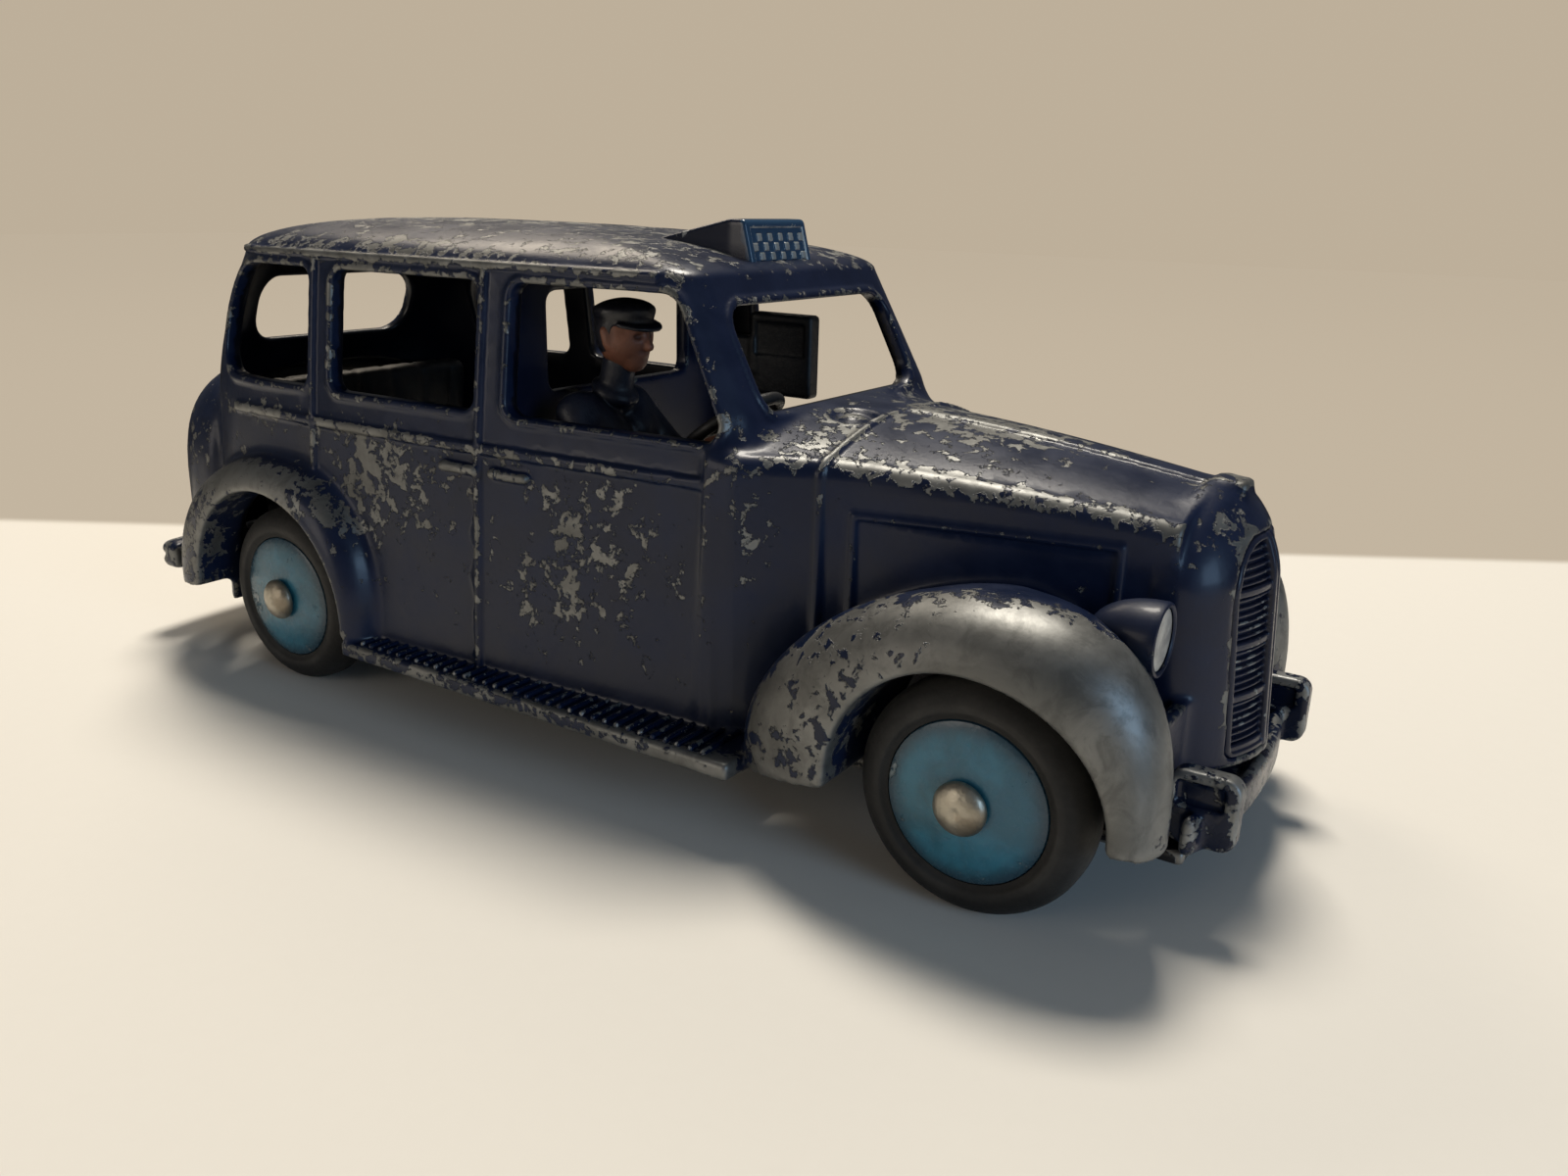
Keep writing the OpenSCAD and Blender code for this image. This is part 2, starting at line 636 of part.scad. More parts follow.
// Closed wall between the wings and the radiator, behind the bumper
module front_apron() {
    apron_t = 0.9;
    half_w = nose_root + wall;
    translate([apron_x, -half_w, sill_h]) cube([apron_t, 2 * half_w, radiator_foot_h + 4.5 - sill_h]);
}

post_front_x = front_x - 6.8;
post_rear_x = cab_back_x + wall + post_d * 0.3;

module body_posts() {
    for (post = [[post_front_x, bonnet_z(post_front_x) - wall / 2], [post_rear_x, belt_h - 3]])
        translate([post[0], 0, sill_h]) cylinder(d = post_d, h = post[1] - sill_h, $fn = 16);
}

// The front wheels turn in wells that open under the bonnet, the rear ones in the cab's sides
module wheel_wells() {
    both_sides() {
        for (w = [[front_x, front_arch_r, lug_out - lug_t - 2], [rear_x, rear_arch_r, lug_out - lug_t]])
            translate([w[0], 0, 0]) {
                translate([0, w[2], axle_h]) rotate([-90, 0, 0]) cylinder(r = w[1], h = far, $fn = 64);
                translate([-w[1], w[2], -over]) cube([2 * w[1], far, axle_h + over]);
            }
    }
}

module body_shell() {
    color("midnightblue") lifted() {
        difference() {
            union() {
                cab(0);
                cab_mouldings();
                bonnet(0);
                bonnet_mouldings();
                difference() {
                    radiator(0);
                    grille_zone();
                }
                radiator(-grille_depth);
                boot(0);
                front_apron();
                wings();
                running_boards();
                door_handles();
                scuttle_vent();
            }
            cab(-wall, -over);
            bonnet(-wall, -over);
            boot(-wall, boot_foot_h - over);
            glass_openings();
            wheel_wells();
        }
        body_posts();
    }
}

body_shell();

// Insert with two columns of slots, following the radiator's prow
module radiator_grille() {
    slot_depth = grille_depth / 2;
    slot_r = slat_pitch / 4;
    bar = 0.9;
    group = 7;
    low = radiator_foot_h + 1.1;
    top = radiator_waist_h + 1.7;
    count = floor((top - low) / slat_pitch);
    function reach(z) = grille_w / 2 - 0.7 - 1.5 * pow(max(0, z - radiator_waist_h + 1.5) / 3.2, 2);
    color("dimgray") lifted() difference() {
        intersection() {
            radiator(0);
            grille_zone();
        }
        radiator(-grille_depth);
        difference() {
            along(radiator_x, nose_x) both_columns() for (i = [0:count]) if (i % group < group - 1) {
                z = low + i * slat_pitch;
                hull() for (y = [bar / 2 + slot_r, reach(z)])
                    translate([y, z]) circle(r = slot_r, $fn = 6);
            }
            radiator(-slot_depth);
        }
    }
}
module both_columns() {
    children();
    mirror([1, 0]) children();
}

// Lamp bowl, turned, with a shallow domed lens
module headlamp() {
    rim = 0.5;
    dome = 0.45;
    bowl = lamp_len - rim - dome;
    r = lamp_d / 2;
    lens_x = front_x + 8.7;
    color("lightsteelblue") lifted()
        translate([lens_x - lamp_len, lamp_span / 2, lamp_h]) rotate([0, 90, 0])
        rotate_extrude() polygon(concat(
            [for (i = [0:5]) let (b = bulge(r, bowl, 2, 90 - 18 * i)) [b[0], bowl - b[1]]],
            [for (i = [0:3]) let (b = bulge(r, dome, 2, 30 * i)) [b[0], bowl + rim + b[1]]]
        ));
}
module headlamp_left() { headlamp(); }
module headlamp_right() { mirror([0, 1, 0]) headlamp(); }

// Wedge with a leaning front, let into the roof
module roof_sign() {
    front = screen_foot_x - 5.7;
    lean = 0.95;
    crest = 1.3;
    tail = front - sign_len;
    mid = lerp(tail, front, 0.4);
    top = roof_h + sign_stand;
    w = sign_w / 2;
    function roof_z(x) = let (u = (x - roof_peak_x) / (screen_x(cant_h) - roof_peak_x))
        cant_h + (roof_h - cant_h) * sqrt(1 - pow(u, roof_square));
    function ring(foot_x, top_x, top_z, half) = let (low = roof_z(foot_x) - seat_in)
        [[foot_x, -half, low], [top_x, -half, top_z], [top_x, half, top_z], [foot_x, half, low]];
    color("royalblue") lifted() loft([
        ring(tail, tail, roof_z(tail) + fit_gap, w * 0.8),
        ring(mid, mid, lerp(roof_z(tail), top, 0.62), w * 0.92),
        ring(front - lean - crest, front - lean - crest, top, w),
        ring(front, front - lean, top, w)
    ]);
}

// A bumper bar seen from above: bowed outer edge, straight inner edge with its ends cut away
function bar_outline(outer, inner, end, half_w, bow) = concat(
    [for (i = [-6:6]) let (u = i / 6) [outer - bow * pow(abs(u), 2.4), half_w * u]],
    [[end, half_w], [inner, half_w - 2.2], [inner, -half_w + 2.2], [end, -half_w]]
);

module front_bumper() {
    lip = nose_x - 0.6;
    back = apron_x + 1;
    end = front_x + front_arch_r + front_wing_nose + fit_gap;
    top = overrider_h - sill_h;
    fin = [[back, bumper_t], [back, top], [nose_x - 0.7, top], [nose_x, top - 0.7],
        [nose_x, 0.9], [nose_x - 0.5, 0.3], [lip - 0.6, 0.3]];
    color("darkslateblue") lifted() translate([0, 0, sill_h]) {
        linear_extrude(bumper_t) polygon(bar_outline(lip, back, end, front_bumper_w / 2, 1.5));
        for (y = [-overrider_span / 2, overrider_span / 2])
            across(y - overrider_t / 2, y + overrider_t / 2) polygon(fin);
    }
}

module rear_bumper() {
    inner = -cab_back_x + fit_gap;
    color("darkslateblue") lifted() mirror([1, 0, 0]) translate([0, 0, sill_h]) {
        translate([0, 0, rear_bumper_rise]) linear_extrude(bumper_t)
            polygon(bar_outline(-tail_x, inner, inner + 2.4, rear_bumper_w / 2, 1.2));
        translate([inner, -lug_out / 2, 0]) cube([bumper_t, lug_out, rear_bumper_rise + fit_gap]);
    }
}

// A rivet's cone-shaped head, flush with the base plate's underside; below it goes on opening out
module countersink(gap, below) {
    flare = (rivet_head_d - rivet_d) / rivet_head_t;
    translate([0, 0, -below])
        cylinder(d1 = rivet_head_d + 2 * gap + flare * below, d2 = rivet_d + 2 * gap, h = rivet_head_t + below);
}

// Floor under the body, with four bored lugs that carry the axles
lug_r = axle_d / 2 + 1.1;
module base_plate() {
    mid_x0 = rear_x + rear_arch_r + 0.6;
    mid_x1 = front_x - front_arch_r - front_wing_tail;
    mid_half = cab_w_front / 2 + 0.5;
    color("black") lifted() difference() {
        union() {
            translate([tail_x + 3, -lug_out, plate_low_h])
                cube([nose_x - tail_x - 5.5, 2 * lug_out, plate_t]);
            translate([mid_x0, -mid_half, plate_low_h]) cube([mid_x1 - mid_x0, 2 * mid_half, plate_t]);
            for (x = [front_x, rear_x], y = [-lug_out, lug_out - lug_t]) {
                translate([x - lug_r, y, plate_low_h]) cube([2 * lug_r, lug_t, axle_h - plate_low_h]);
                translate([x, y, axle_h]) rotate([-90, 0, 0]) cylinder(r = lug_r, h = lug_t);
            }
        }
        for (x = [front_x, rear_x])
            translate([x, -lug_out - over, axle_h]) rotate([-90, 0, 0])
                cylinder(d = axle_d + 2 * running_gap, h = 2 * (lug_out + over));
        for (x = [post_front_x, post_rear_x])
            translate([x, 0, plate_low_h]) {
                translate([0, 0, -over]) cylinder(d = rivet_d + 2 * running_gap, h = plate_t + 2 * over);
                countersink(running_gap, fit_gap);
            }
    }
}

module body_rivets() {
    color("silver") lifted() for (x = [post_front_x, post_rear_x])
        translate([x, 0, plate_low_h]) {
            cylinder(d = rivet_d, h = plate_t);
            countersink(0, 0);
        }
}

// Passenger bench standing astride the rear axle
module rear_seat() {
    back = post_rear_x + post_d / 2 + fit_gap;
    front = rear_x + 4;
    under = axle_h + lug_r + 0.6;
    half_w = cab_w_back / 2 - side_lean - wall - 2.6;
    color("saddlebrown") lifted() across(-half_w, half_w) polygon([
        [back, sill_h], [back + 2.4, sill_h], [back + 2.4, under],
        [front - 1.6, under], [front - 1.6, sill_h], [front, sill_h],
        [front, bench_h - 0.6], [front - 0.6, bench_h], [back + 4.2, bench_h - 0.5],
        [back + 2.6, bench_back_h - 0.8], [back + 1.8, bench_back_h],
        [back + 0.6, bench_back_h], [back, bench_back_h - 0.6]
    ]);
}

// Bulkhead behind the driver, filling the cab from wall to wall
partition_x = door_mid_x - partition_t / 2;
module partition() {
    top = cant_h - 0.4;
    function half(z) = side_y(door_mid_x) - inset(z) - wall - fit_gap;
    window = [[-8.1, window_sill_h + 0.7], [8.1, window_top_h - 0.9]];
    color("midnightblue") lifted() along(partition_x, partition_x + partition_t) difference() {
        polygon([[-half(sill_h), sill_h], [half(sill_h), sill_h], [half(belt_h), belt_h],
            [half(top), top], [-half(top), top], [-half(belt_h), belt_h]]);
        translate(window[0]) square(window[1] - window[0]);
    }
}

driver_y = -6.9;
driver_x = door_mid_x + 4.2;
seat_front_x = door_mid_x + 9.2;
module driver_seat() {
    front_face = partition_x + partition_t;
    half_w = driver_seat_w / 2;
    color("saddlebrown") lifted() translate([0, driver_y, 0]) across(-half_w, half_w) polygon([
        [front_face, sill_h], [seat_front_x, sill_h],
        [seat_front_x, driver_seat_h - 0.5], [seat_front_x - 0.5, driver_seat_h],
        [front_face + 1.6, driver_seat_h], [front_face + 1.4, belt_h - 1.6], [front_face, belt_h - 1.6]
    ]);
}

// Seated figure with a peaked cap, its hands just behind the steering wheel
module driver() {
    seat = driver_seat_h;
    neck = [0.9, 0, seat + 11.4];
    head = [2.7, 0, seat + 16];
    module ball(at, r) { translate(at) sphere(r = r, $fn = 12); }
    module limb(a, b, ra, rb) {
        hull() {
            ball(a, ra);
            ball(b, rb);
        }
    }
    color("darkslategray") lifted() translate([driver_x, driver_y, 0]) difference() {
        union() {
            hull() for (y = [-1.7, 1.7]) {
                ball([0.2, y, seat + 1.5], 1.9);
                ball([0.1, y * 1.6, seat + 11], 1.4);
                ball([2.2, y * 0.8, seat + 8.6], 2);
            }
            limb(neck, [2.3, 0, head[2] - 1], 1.3, 1.1);
            hull() {
                ball(head, 2);
                ball([3.6, 0, head[2] - 1.3], 1.2);
            }
            ball([4.7, 0, head[2] - 0.3], 0.4);
            hull() {
                translate([2.5, 0, head[2] + 1.1]) scale([1, 0.95, 0.3]) sphere(r = 2.3, $fn = 16);
                translate([2.3, 0, head[2] + 1.9]) scale([1, 1, 0.25]) sphere(r = 2.3, $fn = 16);
            }
            hull() {
                translate([2.9, 0, head[2] + 0.9]) cylinder(r = 2.1, h = 0.3, $fn = 16);
                translate([4.6, 0, head[2] + 0.7]) cylinder(r = 1.3, h = 0.25, $fn = 16);
            }
            for (y = [-1, 1]) {
                limb([0.6, y * 1.8, seat + 1.6], [7.4, y * 2.1, seat + 2], 1.8, 1.3);
                limb([7.4, y * 2.1, seat + 2], [9, y * 2.1, sill_h + 0.9], 1.3, 1);
                limb([9, y * 2.1, sill_h + 0.8], [11, y * 2.2, sill_h + 0.6], 0.9, 0.7);
                limb([0.3, y * 3.1, seat + 10.7], [4, y * 4.1, seat + 6.8], 1.4, 1.1);
                limb([4, y * 4.1, seat + 6.8], [8.6, y * 3, seat + 9], 1.1, 0.8);
            }
        }
        translate([-far, -far, seat - far]) cube([far + seat_front_x - driver_x, 2 * far, far]);
        translate([-far, -far, sill_h - far]) cube([2 * far, 2 * far, far]);
    }
}

module steering_wheel() {
    centre = [screen_foot_x - 5.1, driver_y, driver_seat_h + 10.6];
    tilt = 37;
    rim_r = 0.45;
    r = steering_d / 2 - rim_r;
    color("black") lifted() difference() {
        translate(centre) rotate([0, -tilt, 0]) {
            rotate_extrude() translate([r, 0]) circle(r = rim_r, $fn = 16);
            cylinder(r = 0.9, h = 0.9, center = true);
            translate([-r, -0.35, -0.3]) cube([2 * r, 0.7, 0.5]);
            translate([-0.35, -r, -0.3]) cube([0.7, 2 * r, 0.5]);
            translate([0, 0, -far]) cylinder(r = 0.55, h = far);
        }
        translate([-far, -far, sill_h - far]) cube([4 * far, 2 * far, far]);
    }
}

// Meter box carried on an arm from the partition, beside the open bay
module taximeter() {
    x0 = door_mid_x + 5.3;
    y0 = cab_w_front / 2 - 4.3;
    t = 1.5;
    low = belt_h + 1.2;
    arm = partition_x + partition_t;
    color("black") lifted() {
        translate([x0, y0, low]) cube([meter_len, t, meter_tall]);
        translate([arm, y0, low + meter_tall * 0.25]) cube([x0 - arm + t, t, meter_tall * 0.45]);
    }
}

// A rod with a domed head at each end, along Y
module axle(x) {
    inner = hub_face + end_gap;
    dome_r = (axle_head_t + pow(axle_head_d / 2, 2) / axle_head_t) / 2;
    color("silver") translate([x, 0, tyre_d / 2]) rotate([-90, 0, 0]) {
        translate([0, 0, -inner]) cylinder(d = axle_d, h = 2 * inner);
        for (end = [0, 1]) mirror([0, 0, end]) translate([0, 0, inner]) intersection() {
            translate([0, 0, axle_head_t - dome_r]) sphere(r = dome_r);
            cylinder(d = axle_head_d + over, h = axle_head_t + over);
        }
    }
}
module front_axle() { axle(front_x); }
module rear_axle() { axle(rear_x); }

// Pressed wheel disc with a shallow dome outside and a spacing boss inside
module hub(x) {
    dome = 0.5;
    dome_r = (dome + pow(hub_d / 2, 2) / dome) / 2;
    boss_r = axle_d / 2 + 1;
    inner = wheel_in + 0.5;
    color("steelblue") translate([x, 0, tyre_d / 2]) rotate([-90, 0, 0]) difference() {
        union() {
            intersection() {
                translate([0, 0, inner]) cylinder(d = hub_d, h = hub_face - inner);
                translate([0, 0, hub_face - dome_r]) sphere(r = dome_r);
            }
            translate([0, 0, lug_out + end_gap]) cylinder(r = boss_r, h = hub_boss + over);
        }
        cylinder(d = axle_d + 2 * running_gap, h = far);
    }
}
module front_left_hub() { hub(front_x); }
module rear_left_hub() { hub(rear_x); }
module front_right_hub() { mirror([0, 1, 0]) hub(front_x); }
module rear_right_hub() { mirror([0, 1, 0]) hub(rear_x); }

// Smooth tyre with round shoulders, gripping the disc
module tyre(x) {
    bore_r = hub_d / 2 - tyre_grip;
    shoulder = tyre_w * 0.42;
    color("black") translate([x, 0, tyre_d / 2]) rotate([-90, 0, 0]) rotate_extrude() {
        translate([bore_r, wheel_in]) square([tyre_d / 2 - shoulder - bore_r, tyre_w]);
        translate([bore_r, wheel_in + shoulder]) square([tyre_d / 2 - bore_r, tyre_w - 2 * shoulder]);
        for (y = [shoulder, tyre_w - shoulder])
            translate([tyre_d / 2 - shoulder, wheel_in + y]) circle(r = shoulder);
    }
}
module front_left_tyre() { tyre(front_x); }
module rear_left_tyre() { tyre(rear_x); }
module front_right_tyre() { mirror([0, 1, 0]) tyre(front_x); }
module rear_right_tyre() { mirror([0, 1, 0]) tyre(rear_x); }

radiator_grille();
headlamp_right();
headlamp_left();
roof_sign();
front_bumper();
rear_bumper();
base_plate();
body_rivets();
rear_seat();
partition();
driver_seat();
driver();
steering_wheel();
taximeter();
front_axle();
rear_axle();
front_right_hub();
front_left_hub();
rear_right_hub();
rear_left_hub();
front_right_tyre();
front_left_tyre();
rear_right_tyre();
rear_left_tyre();
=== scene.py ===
"""Die-cast toy taxi in worn navy enamel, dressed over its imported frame."""

import math

import bmesh
import bpy
import numpy as np
import openvdb as vdb
from mathutils import Matrix, Vector


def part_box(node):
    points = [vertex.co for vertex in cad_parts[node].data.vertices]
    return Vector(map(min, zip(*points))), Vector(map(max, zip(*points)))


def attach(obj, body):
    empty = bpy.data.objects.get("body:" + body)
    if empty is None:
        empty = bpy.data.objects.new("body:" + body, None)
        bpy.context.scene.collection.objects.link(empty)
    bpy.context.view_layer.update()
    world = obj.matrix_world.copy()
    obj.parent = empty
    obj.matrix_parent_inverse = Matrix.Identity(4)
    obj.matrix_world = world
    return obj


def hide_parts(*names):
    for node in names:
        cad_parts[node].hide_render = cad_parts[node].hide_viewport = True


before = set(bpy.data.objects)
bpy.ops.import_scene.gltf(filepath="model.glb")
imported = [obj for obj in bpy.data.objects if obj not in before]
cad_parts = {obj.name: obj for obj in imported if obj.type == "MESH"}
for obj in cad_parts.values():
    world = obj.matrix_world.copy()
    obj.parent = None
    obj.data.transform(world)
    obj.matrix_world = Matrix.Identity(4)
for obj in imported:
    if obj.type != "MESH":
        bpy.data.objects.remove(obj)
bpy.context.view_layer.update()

# Base plate: the pressed floor under the body, with four upturned lugs for the axles.
# It is thin sheet dipped in black enamel, held to the body's posts by two countersunk rivets.
MM = 0.001
MARGIN_CELLS = 3
FRONT_AXLE_X = 33.9
REAR_AXLE_X = -26.1
AXLE_H = 7.1
SILL_H = 4.7
PLATE_T = 0.9
LUG_OUT = 10.08
LUG_T = 1.6
LUG_R = 2.0
LUG_BORE_R = 0.96
PLATE_BACK_X, PLATE_FRONT_X = -44, 44.5
PLATE_WIDE = (-16.6, 18.05)
PLATE_WIDE_HALF = 15
POST_FRONT_X = 27.1
POST_REAR_X = -38.86
RIVET_R = 1.1
RIVET_HEAD_R = 1.9
RIVET_SINK = 0.5


def field_at(field, low, step, points):
    """Values of a sampled field at points, taken between its grid points."""
    spot = np.clip((points - low) / step, 0, np.array(field.shape) - 1.001)
    cell = spot.astype(int)
    part = spot - cell
    value = np.zeros(len(points))
    for corner in np.ndindex(2, 2, 2):
        weight = np.prod(np.where(corner, part, 1 - part), axis=1)
        i, j, k = (cell + corner).T
        value += weight * field[i, j, k]
    return value


def slope_at(field, low, step, points):
    """Direction in which a sampled field grows at points."""
    ahead = [field_at(field, low, step, points + step * axis) for axis in np.eye(3)]
    behind = [field_at(field, low, step, points - step * axis) for axis in np.eye(3)]
    slope = np.stack(ahead, 1) - np.stack(behind, 1)
    return slope / np.maximum(np.linalg.norm(slope, axis=1, keepdims=True), 1e-9)


def mesh_object(name, points, faces):
    """Object from points in millimetres and faces of any size."""
    mesh = bpy.data.meshes.new(name)
    mesh.from_pydata((np.asarray(points) * MM).tolist(), [], [list(f) for f in faces])
    mesh.polygons.foreach_set("use_smooth", [True] * len(mesh.polygons))
    thing = bpy.data.objects.new(name, mesh)
    bpy.context.scene.collection.objects.link(thing)
    return thing


def points_of(thing):
    """Points of a mesh, in millimetres."""
    co = np.empty(len(thing.data.vertices) * 3, np.float32)
    thing.data.vertices.foreach_get("co", co)
    return co.reshape(-1, 3).astype(float) / MM


def thin_out(thing, most):
    """Collapses a mesh to at most that many triangles."""
    triangles = sum(len(p.vertices) - 2 for p in thing.data.polygons)
    if triangles > most:
        fewer = thing.modifiers.new("fewer", "DECIMATE")
        fewer.ratio = most / triangles
        seen = thing.evaluated_get(bpy.context.evaluated_depsgraph_get())
        thing.data = bpy.data.meshes.new_from_object(seen)
        thing.modifiers.clear()


def skin(name, field, low, step, most, reach):
    """Mesh of a distance field's zero surface, shaded by the field's own slope.
    The attribute ridge says how far each point stands out (above 0) or lies in a corner (below 0)."""
    band = MARGIN_CELLS * step
    grid = vdb.FloatGrid(band)
    grid.copyFromArray(np.clip(field, -band, band).astype(np.float32))
    points, triangles, quads = grid.convertToPolygons(0, 0.01)
    thing = mesh_object(name, low + points * step, [*triangles.tolist(), *quads.tolist()])
    thin_out(thing, most)
    co = points_of(thing)
    normal = slope_at(field, low, step, co)
    co -= field_at(field, low, step, co)[:, None] * normal
    thing.data.vertices.foreach_set("co", (co * MM).astype(np.float32).ravel())
    thing.data.update()
    if signed_volume(thing) < 0:
        thing.data.flip_normals()
    thing.data.normals_split_custom_set_from_vertices(normal.tolist())
    ways = [np.array(c) - 1 for c in np.ndindex(3, 3, 3) if c != (1, 1, 1)]
    ring = [field_at(field, low, step, co + reach * w / np.linalg.norm(w)) for w in ways]
    put_attribute(thing, "ridge", np.mean(ring, axis=0) / reach)
    return thing


def signed_volume(thing):
    thing.data.calc_loop_triangles()
    corner = np.empty(len(thing.data.loop_triangles) * 3, np.int32)
    thing.data.loop_triangles.foreach_get("vertices", corner)
    a, b, c = points_of(thing)[corner].reshape(-1, 3, 3).transpose(1, 0, 2)
    return np.sum(a * np.cross(b, c)) / 6


def put_attribute(thing, name, values):
    attribute = thing.data.attributes.new(name, "FLOAT", "POINT")
    attribute.data.foreach_set("value", np.asarray(values, np.float32))


def soft_min(a, b, k):
    """Union of two fields with a fillet about k wide."""
    h = np.maximum(k - np.abs(a - b), 0) / k
    return np.minimum(a, b) - h * h * k / 4


def soft_max(a, b, k):
    """Common part of two fields with its edge rounded over about k."""
    return -soft_min(-a, -b, k)


def slab(x, y, z, low, high, r):
    """Box between two corners, its edges rounded by r."""
    deep = []
    for value, a, b in zip((x, y, z), low, high):
        deep.append(np.abs(value - (a + b) / 2) - (b - a) / 2 + r)
    outside = sum(np.maximum(d, 0) ** 2 for d in deep)
    inside = np.minimum(np.maximum(np.maximum(deep[0], deep[1]), deep[2]), 0)
    return np.sqrt(outside) + inside - r


def limb(x, y, z, a, b, ra, rb):
    """Round bar from a to b, tapering from radius ra to rb."""
    a, b = np.array(a, float), np.array(b, float)
    way = b - a
    t = ((x - a[0]) * way[0] + (y - a[1]) * way[1] + (z - a[2]) * way[2]) / way.dot(way)
    t = np.clip(t, 0, 1)
    off = [v - (p + t * w) for v, p, w in zip((x, y, z), a, way)]
    return np.sqrt(off[0] ** 2 + off[1] ** 2 + off[2] ** 2) - (ra + t * (rb - ra))


def cast(name, low, high, step, shape, most, reach):
    """Casting whose shape(x, y, z) is a distance in millimetres, worked out on a grid over a box."""
    step = step * 1
    low = np.array(low, float) - MARGIN_CELLS * step
    count = np.ceil((np.array(high) + MARGIN_CELLS * step - low) / step).astype(int)
    x, y, z = (low[i] + step * np.arange(count[i]) for i in range(3))
    field = np.broadcast_to(shape(x[:, None, None], y[None, :, None], z[None, None, :]), count)
    return skin(name, np.array(field), low, step, most, reach)


def cast_in(solid, name, step, shape, most=40_000, reach=0.4):
    """Casting worked out over the box of the solid that it stands for."""
    low, high = (np.array(c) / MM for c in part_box(solid))
    return cast(name, low, high, step, shape, most, reach)


def plug(socket, value):
    """Links an input to another node's output, or sets it to a plain value."""
    if isinstance(value, bpy.types.NodeSocket):
        socket.id_data.links.new(value, socket)
    else:
        socket.default_value = value


def wire(made, **inputs):
    """Plugs a node's inputs by name; an underscore stands for a space."""
    for name, value in inputs.items():
        plug(made.inputs[name.replace("_", " ")], value)


def node(tree, kind, settings=None, **inputs):
    """Shader node with its settings and inputs."""
    made = tree.nodes.new("ShaderNode" + kind)
    for name, value in (settings or {}).items():
        setattr(made, name, value)
    wire(made, **inputs)
    return made


def sums(tree, operation, *values):
    """Math node over values or sockets."""
    made = tree.nodes.new("ShaderNodeMath")
    made.operation = operation
    for socket, value in zip(made.inputs, values):
        plug(socket, value)
    return made.outputs[0]


def times(tree, a, b):
    return sums(tree, "MULTIPLY", a, b)


def step_between(tree, value, low, high):
    """Smooth step from 0 at low to 1 at high."""
    smooth = {"interpolation_type": "SMOOTHSTEP"}
    return node(tree, "MapRange", smooth, Value=value, From_Min=low, From_Max=high).outputs[0]


def blend(tree, share, a, b):
    """Colour between a and b."""
    made = tree.nodes.new("ShaderNodeMix")
    made.data_type = "RGBA"
    for socket, value in zip((made.inputs[0], made.inputs[6], made.inputs[7]), (share, a, b)):
        plug(socket, (*value, 1) if isinstance(value, tuple) else value)
    return made.outputs[2]


def between(tree, share, a, b):
    """Number between a and b."""
    made = tree.nodes.new("ShaderNodeMix")
    for socket, value in zip((made.inputs[0], made.inputs[2], made.inputs[3]), (share, a, b)):
        plug(socket, value)
    return made.outputs[0]


def noise(tree, where, scale, detail, rough, twist=0.0):
    """Value of a fractal noise; scale is in waves per metre."""
    made = node(tree, "TexNoise", Vector=where, Scale=scale, Detail=detail)
    wire(made, Roughness=rough, Distortion=twist)
    return made.outputs[0]


def new_group(name, inputs, outputs):
    """Empty node group with those sockets; gives its tree, its input sockets and its output node."""
    tree = bpy.data.node_groups.new(name, "ShaderNodeTree")
    for label, kind in inputs.items():
        tree.interface.new_socket(label, in_out="INPUT", socket_type="NodeSocket" + kind)
    for label, kind in outputs.items():
        tree.interface.new_socket(label, in_out="OUTPUT", socket_type="NodeSocket" + kind)
    start = tree.nodes.new("NodeGroupInput")
    return tree, start.outputs, tree.nodes.new("NodeGroupOutput")


def use_group(tree, group, **inputs):
    made = tree.nodes.new("ShaderNodeGroup")
    made.node_tree = group
    wire(made, **inputs)
    return made.outputs


def new_material(name):
    """Material with its tree, its Principled shader and the place on the piece."""
    material = bpy.data.materials.new(name)
    material.use_nodes = True
    tree = material.node_tree
    return material, tree, tree.nodes["Principled BSDF"], node(tree, "TexCoord").outputs["Object"]


def toned(colour, share):
    """The colour made darker or paler."""
    return tuple(c * share for c in colour)


def attribute(tree, name):
    return node(tree, "Attribute", {"attribute_name": name}).outputs["Fac"]


def bump(tree, height, depth, strength=1.0):
    """Normal of a surface whose height runs over depth metres."""
    made = node(tree, "Bump", Height=height, Strength=strength, Distance=depth)
    return made.outputs[0]


def chipping_group():
    """Enamel knocked off a casting: Bare is 1 where the metal shows, Rim runs along each chip's edge.
    Worn goes from 0, where the enamel is whole, to 1, where it is all gone."""
    tree, given, made = new_group(
        "chipped_enamel",
        {"Place": "Vector", "Worn": "Float", "Flake": "Float"},
        {"Bare": "Float", "Rim": "Float", "Step": "Float"},
    )
    flakes = noise(tree, given["Place"], given["Flake"], 9.0, 0.62, 0.35)
    patches = noise(tree, given["Place"], times(tree, given["Flake"], 0.27), 4.0, 0.5, 0.6)
    specks = noise(tree, given["Place"], times(tree, given["Flake"], 3.1), 3.0, 0.5)
    mixed = sums(tree, "ADD", times(tree, flakes, 0.64), times(tree, patches, 0.22))
    mixed = sums(tree, "ADD", mixed, times(tree, specks, 0.14))
    spread = sums(tree, "MULTIPLY_ADD", sums(tree, "SUBTRACT", mixed, 0.5), 5.2, 0.5)
    level = sums(tree, "ADD", spread, sums(tree, "MULTIPLY_ADD", given["Worn"], 2.0, -1.0))
    bare = step_between(tree, level, 0.47, 0.55)
    rim = times(tree, step_between(tree, level, 0.36, 0.47), sums(tree, "SUBTRACT", 1.0, bare))
    wire(made, Bare=bare, Rim=rim, Step=step_between(tree, level, 0.4, 0.62))
    return tree


